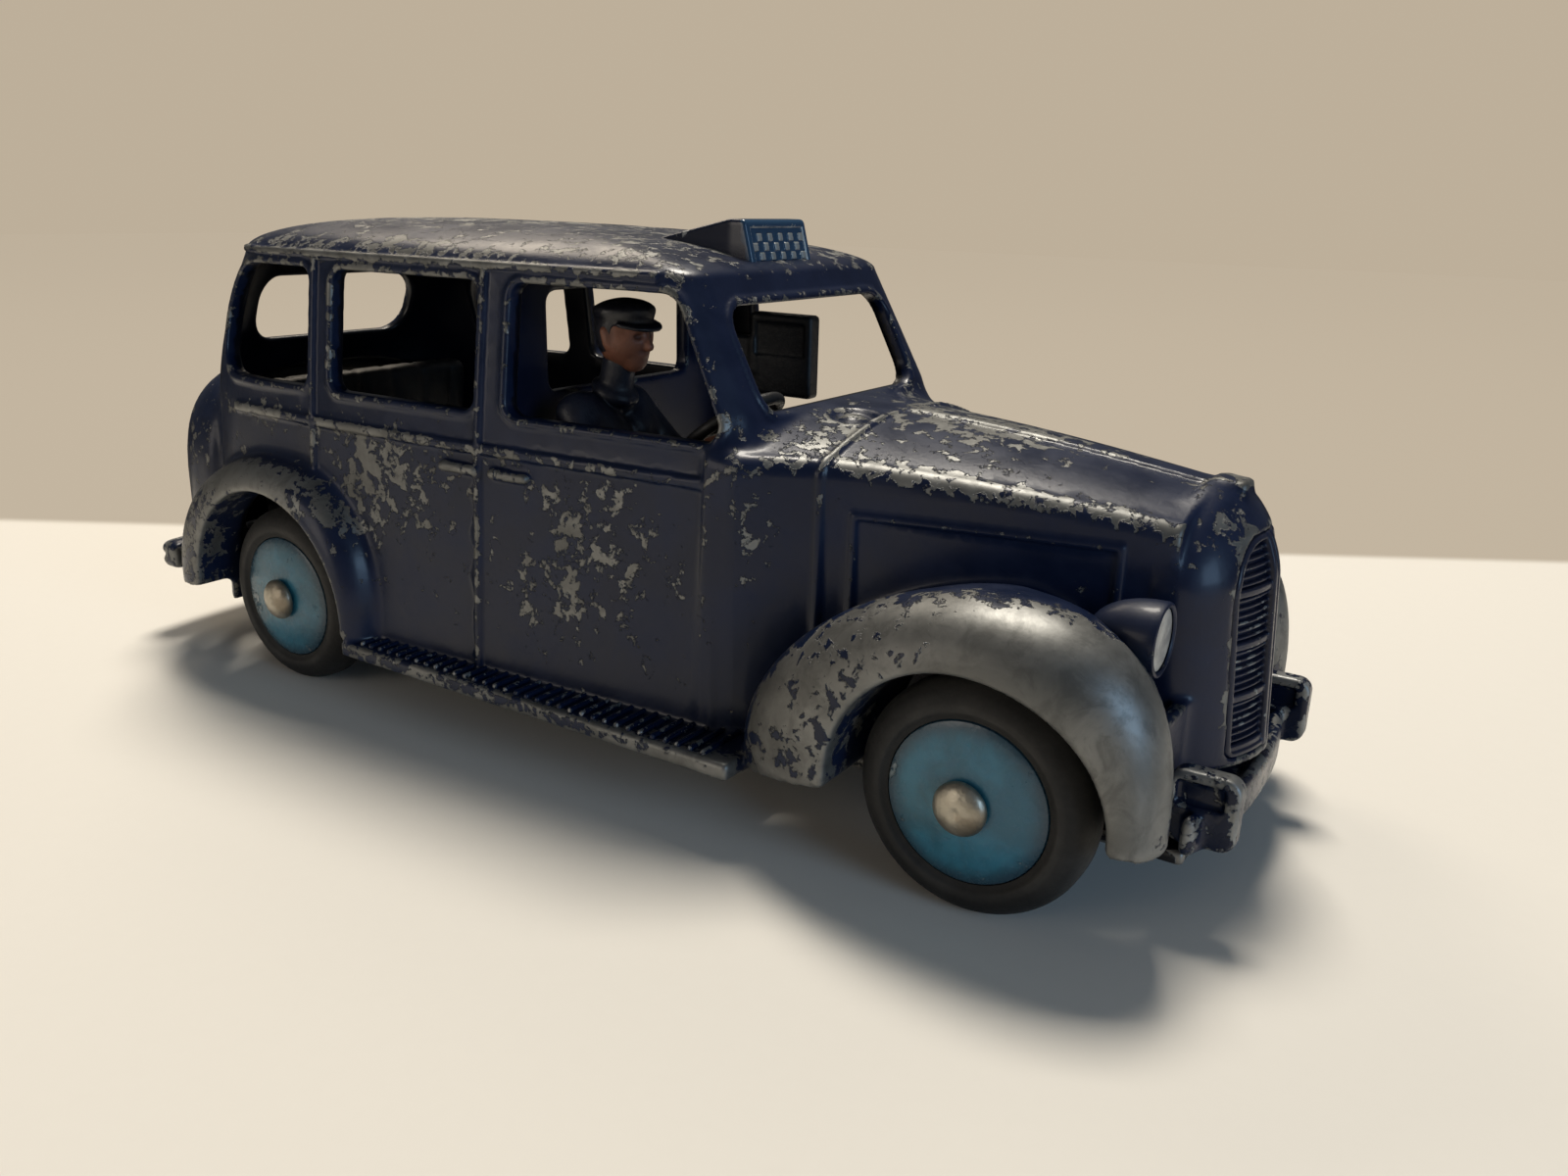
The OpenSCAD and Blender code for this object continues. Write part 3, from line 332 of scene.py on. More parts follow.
def marks_and_shade_group():
    """Handling marks and painted shade: Film is a cloudy dull film, Smear a streaky one,
    Pits are fine casting pits and Corner is painted shade in corners, ragged at its edge."""
    tree, given, made = new_group(
        "handling_marks_and_corner_shade",
        {"Place": "Vector", "Ridge": "Float"},
        {"Film": "Float", "Pits": "Float", "Corner": "Float", "Smear": "Float"},
    )
    film = step_between(tree, noise(tree, given["Place"], 210.0, 6.0, 0.6, 0.4), 0.36, 0.68)
    pits = noise(tree, given["Place"], 2600.0, 3.0, 0.6)
    # painted shade for corners: strongest where the surface lies deepest in a corner, ragged by a noise
    ragged = noise(tree, given["Place"], 900.0, 4.0, 0.6)
    uneven = sums(tree, "MULTIPLY_ADD", ragged, 0.7, -0.45)
    depth = sums(tree, "MULTIPLY_ADD", given["Ridge"], -3.2, uneven)
    smear = step_between(tree, noise(tree, given["Place"], 520.0, 7.0, 0.66, 0.8), 0.46, 0.66)
    wire(made, Film=film, Pits=pits, Corner=step_between(tree, depth, 0.1, 0.9), Smear=smear)
    return tree


CHIPPED = chipping_group()
MARKS_AND_SHADE = marks_and_shade_group()


def enamel(name, colour, metal, worn, flake, edge=1.6, gloss=0.27):
    """Stoved enamel over grey zinc alloy, chipped through on high spots.
    worn is a number, or the name of a point attribute that holds it, below 0 on the inside, where the
    enamel gets painted shade."""
    material, tree, shader, where = new_material(name)
    ridge = attribute(tree, "ridge")
    base = attribute(tree, worn) if isinstance(worn, str) else worn
    lifted = times(tree, sums(tree, "MAXIMUM", ridge, 0.0), edge)
    chips = use_group(tree, CHIPPED, Place=where, Worn=sums(tree, "ADD", lifted, base), Flake=flake)
    marks_and_shade = use_group(tree, MARKS_AND_SHADE, Place=where, Ridge=ridge)
    dark = toned(colour, 0.55)
    paint = blend(tree, marks_and_shade["Film"], colour, toned(colour, 1.35))
    paint = blend(tree, times(tree, chips["Rim"], 0.6), paint, dark)
    # painted shade: on the inside of a shell the enamel is darkened to about a fifth of its colour
    if isinstance(worn, str):
        paint = blend(tree, step_between(tree, base, -0.5, -0.1), toned(colour, 0.22), paint)
    dull = toned(metal, 0.62)
    alloy = blend(tree, marks_and_shade["Film"], metal, dull)
    alloy = blend(tree, times(tree, marks_and_shade["Smear"], 0.55), alloy, toned(metal, 0.42))
    # painted shade darkens the bare metal in corners and hollows
    alloy = blend(tree, times(tree, marks_and_shade["Corner"], 0.6), alloy, toned(metal, 0.3))
    wire(shader, Base_Color=blend(tree, chips["Bare"], paint, alloy))
    shine = between(tree, marks_and_shade["Film"], gloss, gloss + 0.16)
    scuffed = between(tree, marks_and_shade["Pits"], 0.40, 0.56)
    wire(shader, Roughness=between(tree, chips["Bare"], shine, scuffed))
    wire(shader, Metallic=times(tree, chips["Bare"], 0.72))
    wire(shader, Coat_Weight=times(tree, sums(tree, "SUBTRACT", 1.0, chips["Bare"]), 0.12))
    wire(shader, Coat_Roughness=0.16)
    wire(shader, Specular_IOR_Level=0.24)
    film_t = sums(tree, "MULTIPLY_ADD", chips["Step"], -1.0, 1.0)
    height = sums(tree, "ADD", film_t, times(tree, marks_and_shade["Pits"], 0.16))
    wire(shader, Normal=bump(tree, height, 0.00006))
    return material


def dress(thing, material, body, slot, *nodes):
    """Gives a piece its material, the body it moves with and the CAD nodes it stands for; slot is not
    used.
    """
    thing.data.materials.clear()
    thing.data.materials.append(material)
    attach(thing, body)
    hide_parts(*nodes)


def base_plate_shape(x, y, z):
    top, low = SILL_H, SILL_H - PLATE_T
    strip = slab(x, y, z, (PLATE_BACK_X, -LUG_OUT, low), (PLATE_FRONT_X, LUG_OUT, top), 0.25)
    back_x, front_x = PLATE_WIDE
    middle = slab(x, y, z, (back_x, -PLATE_WIDE_HALF, low), (front_x, PLATE_WIDE_HALF, top), 0.25)
    plate = soft_min(strip, middle, 0.4)
    for axle_x in (FRONT_AXLE_X, REAR_AXLE_X):
        off = np.hypot(x - axle_x, np.maximum(z - AXLE_H, 0)) - LUG_R
        side = np.abs(np.abs(y) - (LUG_OUT - LUG_T / 2)) - LUG_T / 2
        lug = soft_max(soft_max(off, side, 0.3), low - z, 0.2)
        plate = soft_min(plate, lug, 0.4)
        plate = soft_max(plate, LUG_BORE_R - np.hypot(x - axle_x, z - AXLE_H), 0.1)
    plate = np.maximum(plate, low - z)
    flare = (RIVET_HEAD_R - RIVET_R) / RIVET_SINK
    for post_x in (POST_FRONT_X, POST_REAR_X):
        off = np.hypot(x - post_x, y) - 0.06
        sink = (off - RIVET_HEAD_R + flare * (z - low)) / math.hypot(1, flare)
        plate = soft_max(plate, -np.minimum(sink, off - RIVET_R), 0.08)
    return plate


ALLOY = (0.205, 0.206, 0.198)
BLACK_ENAMEL = (0.010, 0.010, 0.012)
plate_finish = enamel("black_plate_enamel", BLACK_ENAMEL, (0.30, 0.29, 0.27), worn=0.16, flake=420.0)
base_plate = cast_in("base_plate", "floor_plate", 0.2, base_plate_shape, most=60_000)
dress(base_plate, plate_finish, "car", "base_paint", "base_plate")

# Body rivets: the ends of the two body posts, spun flush into the floor's countersinks.
# They are bare zinc, dull and a little uneven from the spinning tool.
SHARP_FROM = math.radians(42)


def lathe(name, profile, centre, axis, turns=72):
    """Turned piece: profile points are (radius, place along the axis), in millimetres."""
    turns = turns
    angles = 2 * math.pi * np.arange(turns) / turns
    frame_of = {"X": (1, 2, 0), "Y": (2, 0, 1), "Z": (0, 1, 2)}[axis]
    points = np.zeros((len(profile), turns, 3))
    for row, (radius, along) in enumerate(profile):
        points[row, :, frame_of[0]] = radius * np.cos(angles)
        points[row, :, frame_of[1]] = radius * np.sin(angles)
        points[row, :, frame_of[2]] = along
    faces = []
    for row in range(len(profile) - 1):
        for i in range(turns):
            j = (i + 1) % turns
            faces.append((row * turns + i, row * turns + j, (row + 1) * turns + j, (row + 1) * turns + i))
    thing = mesh_object(name, points.reshape(-1, 3) + np.array(centre), faces)
    tidy_turning(thing)
    return thing


def tidy_turning(thing):
    """Joins the points on the axis, turns the faces outward and keeps sharp steps sharp."""
    work = bmesh.new()
    work.from_mesh(thing.data)
    bmesh.ops.remove_doubles(work, verts=work.verts, dist=1e-7)
    bmesh.ops.dissolve_degenerate(work, edges=work.edges, dist=1e-8)
    bmesh.ops.recalc_face_normals(work, faces=work.faces)
    work.to_mesh(thing.data)
    work.free()
    thing.data.polygons.foreach_set("use_smooth", [True] * len(thing.data.polygons))
    thing.data.set_sharp_from_angle(angle=SHARP_FROM)


def arc(centre, radius, start, end, count):
    """Points (radius, along) on an arc in a turned profile; angles in degrees from outward to along."""
    spread = np.radians(np.linspace(start, end, count))
    return [(centre[0] + radius * math.cos(a), centre[1] + radius * math.sin(a)) for a in spread]


def mottled(name, colour, other, patch, grain, rough, metallic=0.0, depth=0.00004):
    """Finish that turns to another colour in patches, its gloss and relief broken by a fine grain.
    patch and grain set their noises; patch ends with the range that is stretched from 0 to 1."""
    material, tree, shader, where = new_material(name)
    share = step_between(tree, noise(tree, where, *patch[:-2]), *patch[-2:])
    fine = noise(tree, where, *grain)
    wire(shader, Base_Color=blend(tree, share, colour, other), Metallic=metallic)
    wire(shader, Roughness=between(tree, fine, *rough), Normal=bump(tree, fine, depth))
    return material


STAIN = (480.0, 6.0, 0.6, 0.3, 0.4, 0.7)
METAL_PITS = (2400.0, 4.0, 0.6)
BARE = 0.85
zinc = mottled("spun_zinc", (0.42, 0.41, 0.38), (0.2, 0.18, 0.15), STAIN, METAL_PITS, (0.34, 0.58), BARE)
rivet_profile = [(0, 0.07), (0.5, 0.06), (0.9, 0.02), (1.5, 0.0), (1.82, 0.01)]
rivet_profile += [(RIVET_HEAD_R - 0.02, 0.05), (RIVET_R, RIVET_SINK), (RIVET_R, 0.88), (0, 0.88)]
for name, x in (("front", POST_FRONT_X), ("rear", POST_REAR_X)):
    rivet = lathe("rivet_" + name, rivet_profile, (x, 0, SILL_H - PLATE_T), "Z", 48)
    dress(rivet, zinc, "car", "bare_metal", "body_rivets")

# Axles: plain steel rods that turn in the lugs, with heads spun over outside each wheel.
# The heads are bare, rubbed to a warm dull silver, with a dimple left by the spinning punch.
AXLE_D = 1.8
HEAD_D = 3.2
HEAD_T = 0.9
HUB_FACE = 16.6
END_GAP = 0.12
WARM_STEEL, STEEL_STAIN = (0.42, 0.385, 0.315), (0.21, 0.175, 0.13)
steel = mottled("axle_steel", WARM_STEEL, STEEL_STAIN, STAIN, METAL_PITS, (0.28, 0.52), BARE)


def axle_profile():
    half = HUB_FACE + END_GAP
    head = [(HEAD_D / 2, half + 0.05), (HEAD_D / 2 + 0.02, half + 0.2)]
    dome = np.radians([15, 32, 48, 62, 72])
    head += [(HEAD_D / 2 * math.cos(a), half + 0.2 + (HEAD_T - 0.2) * math.sin(a)) for a in dome]
    head += [(0.34, half + HEAD_T - 0.03), (0.16, half + HEAD_T - 0.1), (0, half + HEAD_T - 0.12)]
    end = [(AXLE_D / 2, half), *head]
    return [(r, -y) for r, y in reversed(end)] + end


for name, x in (("front", FRONT_AXLE_X), ("rear", REAR_AXLE_X)):
    rod = lathe(name + "_axle_rod", axle_profile(), (x, 0, AXLE_H), "Y", 48)
    dress(rod, steel, name + "_axle_set", "axle_steel", name + "_axle")

# Wheel discs: small zinc castings, domed outside and bored for the axle.
# They wear mid-blue enamel, clouded paler in patches, with painted shade round the edge where the disc
# sinks into the tyre.
HUB_D = 9.9
HUB_BLUE = (0.019, 0.105, 0.160)


def hub_finish():
    material, tree, shader, where = new_material("wheel_blue_enamel")
    rim = attribute(tree, "rim")
    cloud = step_between(tree, noise(tree, where, 330.0, 6.0, 0.6, 0.5), 0.42, 0.62)
    fine = noise(tree, where, 1500.0, 5.0, 0.62, 0.3)
    worn = sums(tree, "MULTIPLY_ADD", rim, 0.22, 0.05)
    chips = use_group(tree, CHIPPED, Place=where, Worn=worn, Flake=520.0)
    paint = blend(tree, cloud, HUB_BLUE, toned(HUB_BLUE, 1.5))
    paint = blend(tree, times(tree, step_between(tree, fine, 0.45, 0.7), 0.35), paint, (0.03, 0.12, 0.2))
    # painted shade: the disc darkens towards its edge, where it sits down inside the tyre
    ring = times(tree, step_between(tree, rim, 0.72, 1.0), 0.9)
    paint = blend(tree, ring, paint, (0.012, 0.03, 0.05))
    wire(shader, Base_Color=blend(tree, times(tree, chips["Bare"], 0.8), paint, (0.16, 0.2, 0.22)))
    wire(shader, Roughness=between(tree, fine, 0.2, 0.34))
    height = sums(tree, "ADD", times(tree, chips["Step"], -1.0), times(tree, fine, 0.5))
    wire(shader, Normal=bump(tree, height, 0.00005))
    return material


def hub_profile():
    shares = (0.22, 0.3, 0.4, 0.5, 0.6, 0.7, 0.8, 0.88, 0.94)
    dome = [(HUB_D / 2 * u, HUB_FACE - 0.5 * u * u) for u in shares]
    rim = [(4.82, 16.1), (4.9, 15.95), (4.93, 15.7), (4.93, 13.0)]
    back = [(4.6, 13.0), (2.0, 13.1), (1.9, 12.9), (1.9, 10.2), (0.97, 10.2)]
    bore = [(0.97, HUB_FACE - 0.05), (1.03, HUB_FACE)]
    return [*bore, *dome, *rim, *back, bore[0]]


WHEELS = [
    ("front_right", FRONT_AXLE_X, -1),
    ("front_left", FRONT_AXLE_X, 1),
    ("rear_right", REAR_AXLE_X, -1),
    ("rear_left", REAR_AXLE_X, 1),
]
hub_paint = hub_finish()


def off_axle(thing, axle_x):
    """How far each point of a wheel lies from its axle."""
    co = points_of(thing)
    return np.hypot(co[:, 0] - axle_x, co[:, 2] - AXLE_H)


for name, x, side in WHEELS:
    disc = lathe(name + "_disc", [(r, side * y) for r, y in hub_profile()], (x, 0, AXLE_H), "Y")
    put_attribute(disc, "rim", off_axle(disc, x) / (HUB_D / 2))
    dress(disc, hub_paint, name + "_wheel", "hub_paint", name + "_hub")

# Tyres: smooth black rubber rings with round shoulders, stretched over the discs.
# The tread is rubbed grey, a paler band on the wall is a painted highlight of a ridge, and a thin dust
# dulls the rest.
TYRE_R = 7.1
TYRE_OUT = 16.3
TREAD_FROM = 6.6
SHEEN_BAND_R = 5.55
SHEEN_BAND_W = 0.22


def rubber():
    material, tree, shader, where = new_material("tyre_rubber")
    dust = step_between(tree, noise(tree, where, 260.0, 6.0, 0.62, 0.3), 0.38, 0.72)
    fine = noise(tree, where, 2900.0, 4.0, 0.62)
    rub = attribute(tree, "rub")
    tone = blend(tree, dust, (0.0095, 0.0095, 0.0098), (0.020, 0.0195, 0.019))
    # the rubbed tread and the painted highlight band turn the rubber paler
    rubbed_and_sheen = times(tree, rub, sums(tree, "MULTIPLY_ADD", dust, 0.6, 0.4))
    wire(shader, Base_Color=blend(tree, rubbed_and_sheen, tone, (0.052, 0.050, 0.047)))
    wire(shader, Roughness=between(tree, fine, 0.58, 0.8))
    wire(shader, Specular_IOR_Level=0.32)
    wire(shader, Normal=bump(tree, fine, 0.00003))
    return material


def tyre_profile():
    mid = TYRE_OUT - 1.9
    shoulder = 1.55
    outer = [(TYRE_R, mid), (TYRE_R, TYRE_OUT - shoulder - 0.05)]
    outer += arc((TYRE_R - shoulder, TYRE_OUT - shoulder), shoulder, 6, 84, 12)
    lip = [(5.45, 0), (5.34, 0.03), (5.24, 0.12), (5.08, 0.2), (4.92, 0.26), (4.9, 0.6)]
    outer += [(r, TYRE_OUT - sunk) for r, sunk in lip]
    inner = [(r, 2 * mid - y) for r, y in reversed(outer[1:])]
    return [*inner, *outer, inner[0]]


def hump(value, centre, width):
    """Smooth hump from 0 to 1, highest at its centre."""
    return np.exp(-(((value - centre) / width) ** 2))


tyre_rubber = rubber()
for name, x, side in WHEELS:
    tyre = lathe(name + "_rubber", [(r, side * y) for r, y in tyre_profile()], (x, 0, AXLE_H), "Y", 96)
    r = off_axle(tyre, x)
    tread = np.maximum(0.0, (r - TREAD_FROM) / (TYRE_R - TREAD_FROM))
    # rub holds the rubbed tread and a painted highlight band on the tyre's wall
    put_attribute(tyre, "rub", tread * 0.8 + hump(r, SHEEN_BAND_R, SHEEN_BAND_W) * 0.7)
    dress(tyre, tyre_rubber, name + "_wheel", "tyre_rubber", name + "_tyre")

# Passenger bench: a cushion and a channelled back that stand astride the rear axle.
# It belongs to the inside unit, moulded in dark plastic that shows only through the windows.
BENCH_HALF = 10.4
BENCH_BACK_X, BENCH_FRONT_X = -36.3, -22.1
CHANNEL_PITCH = 3.4
DARK, DUSTY = (0.005, 0.0055, 0.007), (0.011, 0.011, 0.0125)
BLOOM = (300.0, 5.0, 0.6, 0.3, 0.4, 0.75)
PLASTIC_GRAIN = (2200.0, 4.0, 0.6)
inside_plastic = mottled("inside_plastic", DARK, DUSTY, BLOOM, PLASTIC_GRAIN, (0.42, 0.62))


def bench_shape(x, y, z):
    half, back_x, front_x = BENCH_HALF, BENCH_BACK_X, BENCH_FRONT_X
    cushion = slab(x, y, z, (back_x + 1.5, -half, 10.2), (front_x, half, 14), 0.8)
    crown = 0.5 * np.cos(np.clip(y / half, -1, 1) * math.pi / 2)
    cushion = cushion + 0.4 - crown * 0.8
    back = slab(x - 0.1 * (z - 13), y, z, (back_x, -half, 12), (back_x + 2.6, half, 23.2), 0.9)
    channel = 0.14 * hump(np.mod(y + BENCH_HALF, CHANNEL_PITCH), CHANNEL_PITCH / 2, 0.24)
    seat = soft_min(cushion, back, 0.7) + channel
    feet = np.minimum(
        slab(x, y, z, (-23.7, -half, SILL_H), (front_x, half, 12), 0.2),
        slab(x, y, z, (back_x, -half, SILL_H), (back_x + 2.4, half, 13), 0.2),
    )
    return soft_min(seat, feet, 0.4)


bench = cast_in("rear_seat", "passenger_bench", 0.28, bench_shape)
dress(bench, inside_plastic, "car", "inside_plastic", "rear_seat")

# Bulkhead: the wall behind the driver, with a framed window, fitted between the cab's sides.
# It is painted with the body, in a thin coat of the same navy enamel.
DOOR_MID_X = -4.7
PARTITION_X = -5.3
PARTITION_T = 1.2
BELT_H = 22.2
DOOR_H = 17.5
GLASS_H = 11.6
CAB_SILL_HALF = 16.2
CAB_WIDEST_X = -18.1


def side_half(x):
    """Half width of the cab at its sill."""
    to_front = 1.7 * np.maximum((x - CAB_WIDEST_X) / 33.5, 0) ** 1.35
    to_back = np.maximum((x - CAB_WIDEST_X) / -22.95, 0) ** 2
    return CAB_SILL_HALF - np.where(x > CAB_WIDEST_X, to_front, to_back)


def lean_in(z):
    """How far the cab's side is set in at a height."""
    low = (z - SILL_H) / DOOR_H
    high = 1 + 1.4 * (np.maximum(z - BELT_H, 0) / GLASS_H) ** 1.1
    return np.where(z < BELT_H, low, high)


def partition_shape(x, y, z):
    half = side_half(DOOR_MID_X) - lean_in(z) - 1.35
    sheet = slab(x, y * 0, z, (PARTITION_X, -1, SILL_H), (PARTITION_X + PARTITION_T, 1, 33.4), 0.2)
    sheet = soft_max(sheet, np.abs(y) - half, 0.3)
    window = slab(x * 0, y, z, (-1, -8.1, 25.0), (1, 8.1, 32.1), 0.9)
    rail = slab(x, y, z, (PARTITION_X - 0.1, -8.9, 24.1), (PARTITION_X + PARTITION_T, 8.9, 33), 0.3)
    return soft_max(np.minimum(sheet, soft_max(rail, sheet - 0.12, 0.1)), -window, 0.25)


bulkhead = cast_in("partition", "bulkhead", 0.2, partition_shape)
bulkhead_enamel = enamel("bulkhead_enamel", (0.006, 0.009, 0.025), ALLOY, worn=0.1, flake=400.0)
dress(bulkhead, bulkhead_enamel, "car", "navy_paint", "partition")

# Driver's seat: a plain block with a low back, standing against the bulkhead.
# It is part of the dark inside moulding, with one seam pressed in round its cushion.
DRIVER_X = -0.5
DRIVER_Y = -6.9
SEAT_H = 13.6
SEAT_HALF = 6
SEAT_FRONT_X = 4.5
SEAT_BACK_TOP = 20.6
SEAM_H = 11.4


def driver_seat_shape(x, y, z):
    y = y - DRIVER_Y
    face = PARTITION_X + PARTITION_T
    base = slab(x, y, z, (face, -SEAT_HALF, SILL_H), (SEAT_FRONT_X, SEAT_HALF, SEAT_H), 0.6)
    back = slab(x, y, z, (face, -SEAT_HALF, SEAT_H - 2), (face + 1.5, SEAT_HALF, SEAT_BACK_TOP), 0.6)
    seam = 0.1 * hump(z, SEAM_H, 0.22)
    return soft_min(base, back, 0.5) + seam


driver_seat = cast_in("driver_seat", "front_seat", 0.25, driver_seat_shape, most=30_000)
dress(driver_seat, inside_plastic, "car", "inside_plastic", "driver_seat")

# Driver: a small one-piece figure in a dark coat and peaked cap, painted by hand.
# The coat and cap are near-black blue, the face and hands a plain flesh tone.


def driver_parts(x, y, z):
    """Fields of the figure's coat, skin and cap."""
    x, y = x - DRIVER_X, y - DRIVER_Y
    side = np.abs(y)
    torso = limb(x, side, z, (0.3, 1.5, SEAT_H + 1.6), (0.7, 2.2, SEAT_H + 10.4), 1.9, 1.6)
    chest = limb(x, side, z, (1.0, 0.8, SEAT_H + 4), (1.6, 1.2, SEAT_H + 8.8), 1.8, 1.9)
    coat = soft_min(torso, chest, 1.2)
    collar = np.hypot(np.hypot(x - 1.5, y) - 1.25, z - SEAT_H - 11.9 + 0.35 * (x - 1.5)) - 0.42
    upper = limb(x, side, z, (0.4, 3.0, SEAT_H + 10.5), (3.9, 4.1, SEAT_H + 6.9), 1.35, 1.05)
    fore = limb(x, side, z, (3.9, 4.1, SEAT_H + 6.9), (7.7, 3.2, SEAT_H + 8.7), 1.05, 0.8)
    thigh = limb(x, side, z, (0.6, 1.8, SEAT_H + 1.6), (7.4, 2.1, SEAT_H + 2), 1.75, 1.3)
    shin = limb(x, side, z, (7.4, 2.1, SEAT_H + 2), (8.9, 2.1, SILL_H + 1), 1.25, 0.95)
    shoe = limb(x, side, z, (8.9, 2.1, SILL_H + 0.85), (10.9, 2.2, SILL_H + 0.7), 0.85, 0.65)
    for piece, k in ((collar, 0.3), (upper, 0.7), (fore, 0.6), (thigh, 0.9), (shin, 0.5), (shoe, 0.3)):
        coat = soft_min(coat, piece, k)
    lapel = np.abs(np.abs(y) - 0.28 * (SEAT_H + 11.4 - z)) - 0.1
    coat = np.where(x > 1.5, coat + 0.07 * hump(lapel, 0, 0.12) * (z > SEAT_H + 5.5), coat)
    coat = soft_max(coat, SILL_H - z, 0.15)
    on_seat = np.maximum(SEAT_H - z, x - 5.0)
    coat = soft_max(coat, on_seat, 0.15)
    head_z = SEAT_H + 16
    skull = limb(x, y, z, (2.4, 0, head_z + 0.3), (2.5, 0, head_z - 0.2), 1.95, 1.9)
    jaw = limb(x, y, z, (2.7, 0, head_z - 0.9), (3.3, 0, head_z - 1.75), 1.55, 0.85)
    skin_field = soft_min(skull, jaw, 0.8)
    nose = limb(x, y, z, (4.25, 0, head_z - 0.1), (4.62, 0, head_z - 0.75), 0.22, 0.34)
    brow = limb(x, side, z, (4.05, 0.25, head_z + 0.42), (3.75, 1.0, head_z + 0.36), 0.3, 0.24)
    eye = limb(x, side, z, (4.32, 0.62, head_z - 0.02), (4.2, 0.85, head_z - 0.04), 0.24, 0.2)
    lips = limb(x, side, z, (4.22, 0.0, head_z - 1.34), (4.05, 0.42, head_z - 1.32), 0.17, 0.12)
    ear = limb(x, side, z, (2.3, 1.95, head_z + 0.25), (2.4, 1.9, head_z - 0.6), 0.32, 0.24)
    neck = limb(x, y, z, (1.4, 0, SEAT_H + 11.4), (2.1, 0, head_z - 1), 1.25, 1.15)
    skin_field = soft_max(skin_field, -eye, 0.2)
    for piece, k in ((nose, 0.3), (brow, 0.35), (lips, 0.2), (ear, 0.25)):
        skin_field = soft_min(skin_field, piece, k)
    coat = soft_min(coat, neck, 0.6)
    hand = limb(x, side, z, (7.9, 3.15, SEAT_H + 8.85), (8.7, 2.95, SEAT_H + 9.2), 0.72, 0.6)
    skin_field = np.minimum(skin_field, hand)
    band = np.hypot(x - 2.45, y) - 2.0
    band = soft_max(band, np.abs(z - head_z - 1.15) - 0.55, 0.2)
    crown_z = z - head_z - 1.5 - 0.05 * (x - 2.4)
    crown = (np.sqrt(((x - 2.4) / 2.2) ** 2 + (y / 2.15) ** 2 + (crown_z / 0.9) ** 2) - 1) * 0.9
    peak = soft_max(np.hypot(x - 3.1, y) - 2.1, np.abs(z - head_z - 0.72 + 0.2 * (x - 3.6)) - 0.16, 0.15)
    peak = soft_max(peak, 3.3 - x, 0.2)
    cap = soft_min(soft_min(band, crown, 0.25), peak, 0.15)
    hair = soft_max(skull - 0.12, x - 2.75 - 0.25 * (z - head_z), 0.2)
    cap = soft_min(cap, hair, 0.15)
    return coat, skin_field, cap


def painted(name, colour, dark, gloss):
    """Hand-brushed paint on the figure, a little uneven, with painted shade darkening it in the folds."""
    material, tree, shader, where = new_material(name)
    uneven = step_between(tree, noise(tree, where, 700.0, 5.0, 0.6, 0.4), 0.35, 0.7)
    # painted shade: the paint turns to the dark colour where the surface lies in a fold
    lit_out_of_folds = step_between(tree, attribute(tree, "ridge"), -0.22, 0.12)
    tone = blend(tree, uneven, colour, toned(colour, 1.3))
    wire(shader, Base_Color=blend(tree, lit_out_of_folds, dark, tone))
    wire(shader, Roughness=between(tree, uneven, gloss, gloss + 0.2))
    wire(shader, Normal=bump(tree, uneven, 0.00003))
    return material


coat_paint = painted("coat_paint", (0.010, 0.013, 0.026), (0.004, 0.005, 0.009), 0.36)
skin_paint = painted("flesh_paint", (0.19, 0.078, 0.048), (0.07, 0.025, 0.016), 0.42)
cap_paint = painted("cap_paint", (0.008, 0.009, 0.015), (0.003, 0.003, 0.005), 0.34)
for index, (name, paint) in enumerate((("coat", coat_paint), ("face", skin_paint), ("cap", cap_paint))):

    def part_shape(x, y, z):
        return driver_parts(x, y, z)[index]

    figure = cast_in("driver", "driver_" + name, 0.14, part_shape, most=50_000, reach=0.3)
    dress(figure, paint, "car", "figure_paint", "driver")

# Steering wheel: a thin ring on four spokes and a sloping column, part of the inside unit.
# It is glossy black, and the column runs down to the floor.
WHEEL_CENTRE = (11.2, DRIVER_Y, 24.2)
WHEEL_TILT = math.radians(37)
RING_R = 3.55
RIM_R = 0.42


def steering_shape(x, y, z):
    dx, y, dz = x - WHEEL_CENTRE[0], y - WHEEL_CENTRE[1], z - WHEEL_CENTRE[2]
    u = dx * math.cos(WHEEL_TILT) + dz * math.sin(WHEEL_TILT)
    w = -dx * math.sin(WHEEL_TILT) + dz * math.cos(WHEEL_TILT)
    ring = np.hypot(np.hypot(u, y) - RING_R, w) - RIM_R
    dish = w + 0.12
    spokes = np.minimum(
        slab(u, y, dish, (-3.5, -0.28, -0.18), (3.5, 0.28, 0.18), 0.15),
        slab(u, y, dish, (-0.28, -3.5, -0.18), (0.28, 3.5, 0.18), 0.15),
    )
    boss = limb(u, y, w, (0, 0, -0.35), (0, 0, 0.3), 0.85, 0.6)
    column = np.maximum(np.hypot(u, y) - 0.5, w)
    wheel = soft_min(soft_min(ring, spokes, 0.3), soft_min(boss, column, 0.3), 0.3)
    return soft_max(wheel, SILL_H - z, 0.1)


steering = cast_in("steering_wheel", "steering_ring", 0.14, steering_shape, reach=0.3)
dress(steering, inside_plastic, "car", "inside_plastic", "steering_wheel")

# Meter: a small box on an arm from the bulkhead, standing beside the open luggage bay.
# It is plain black, with a raised rim round its face.
METER_Y = (10.2, 11.7)


def meter_shape(x, y, z):
    inner, outer = METER_Y
    case = slab(x, y, z, (0.6, inner, 23.4), (6.5, outer, 30), 0.35)
    face = slab(x, y, z, (1.2, 9.2, 26.6), (5.9, 10.35, 29.3), 0.2)
    arm = slab(x, y, z, (PARTITION_X + PARTITION_T, inner, 25.05), (1.5, outer, 28.0), 0.3)
    return soft_max(soft_min(case, arm, 0.4), -face, 0.12)


meter = cast_in("taximeter", "fare_meter", 0.14, meter_shape, most=30_000, reach=0.3)
dress(meter, inside_plastic, "car", "inside_plastic", "taximeter")

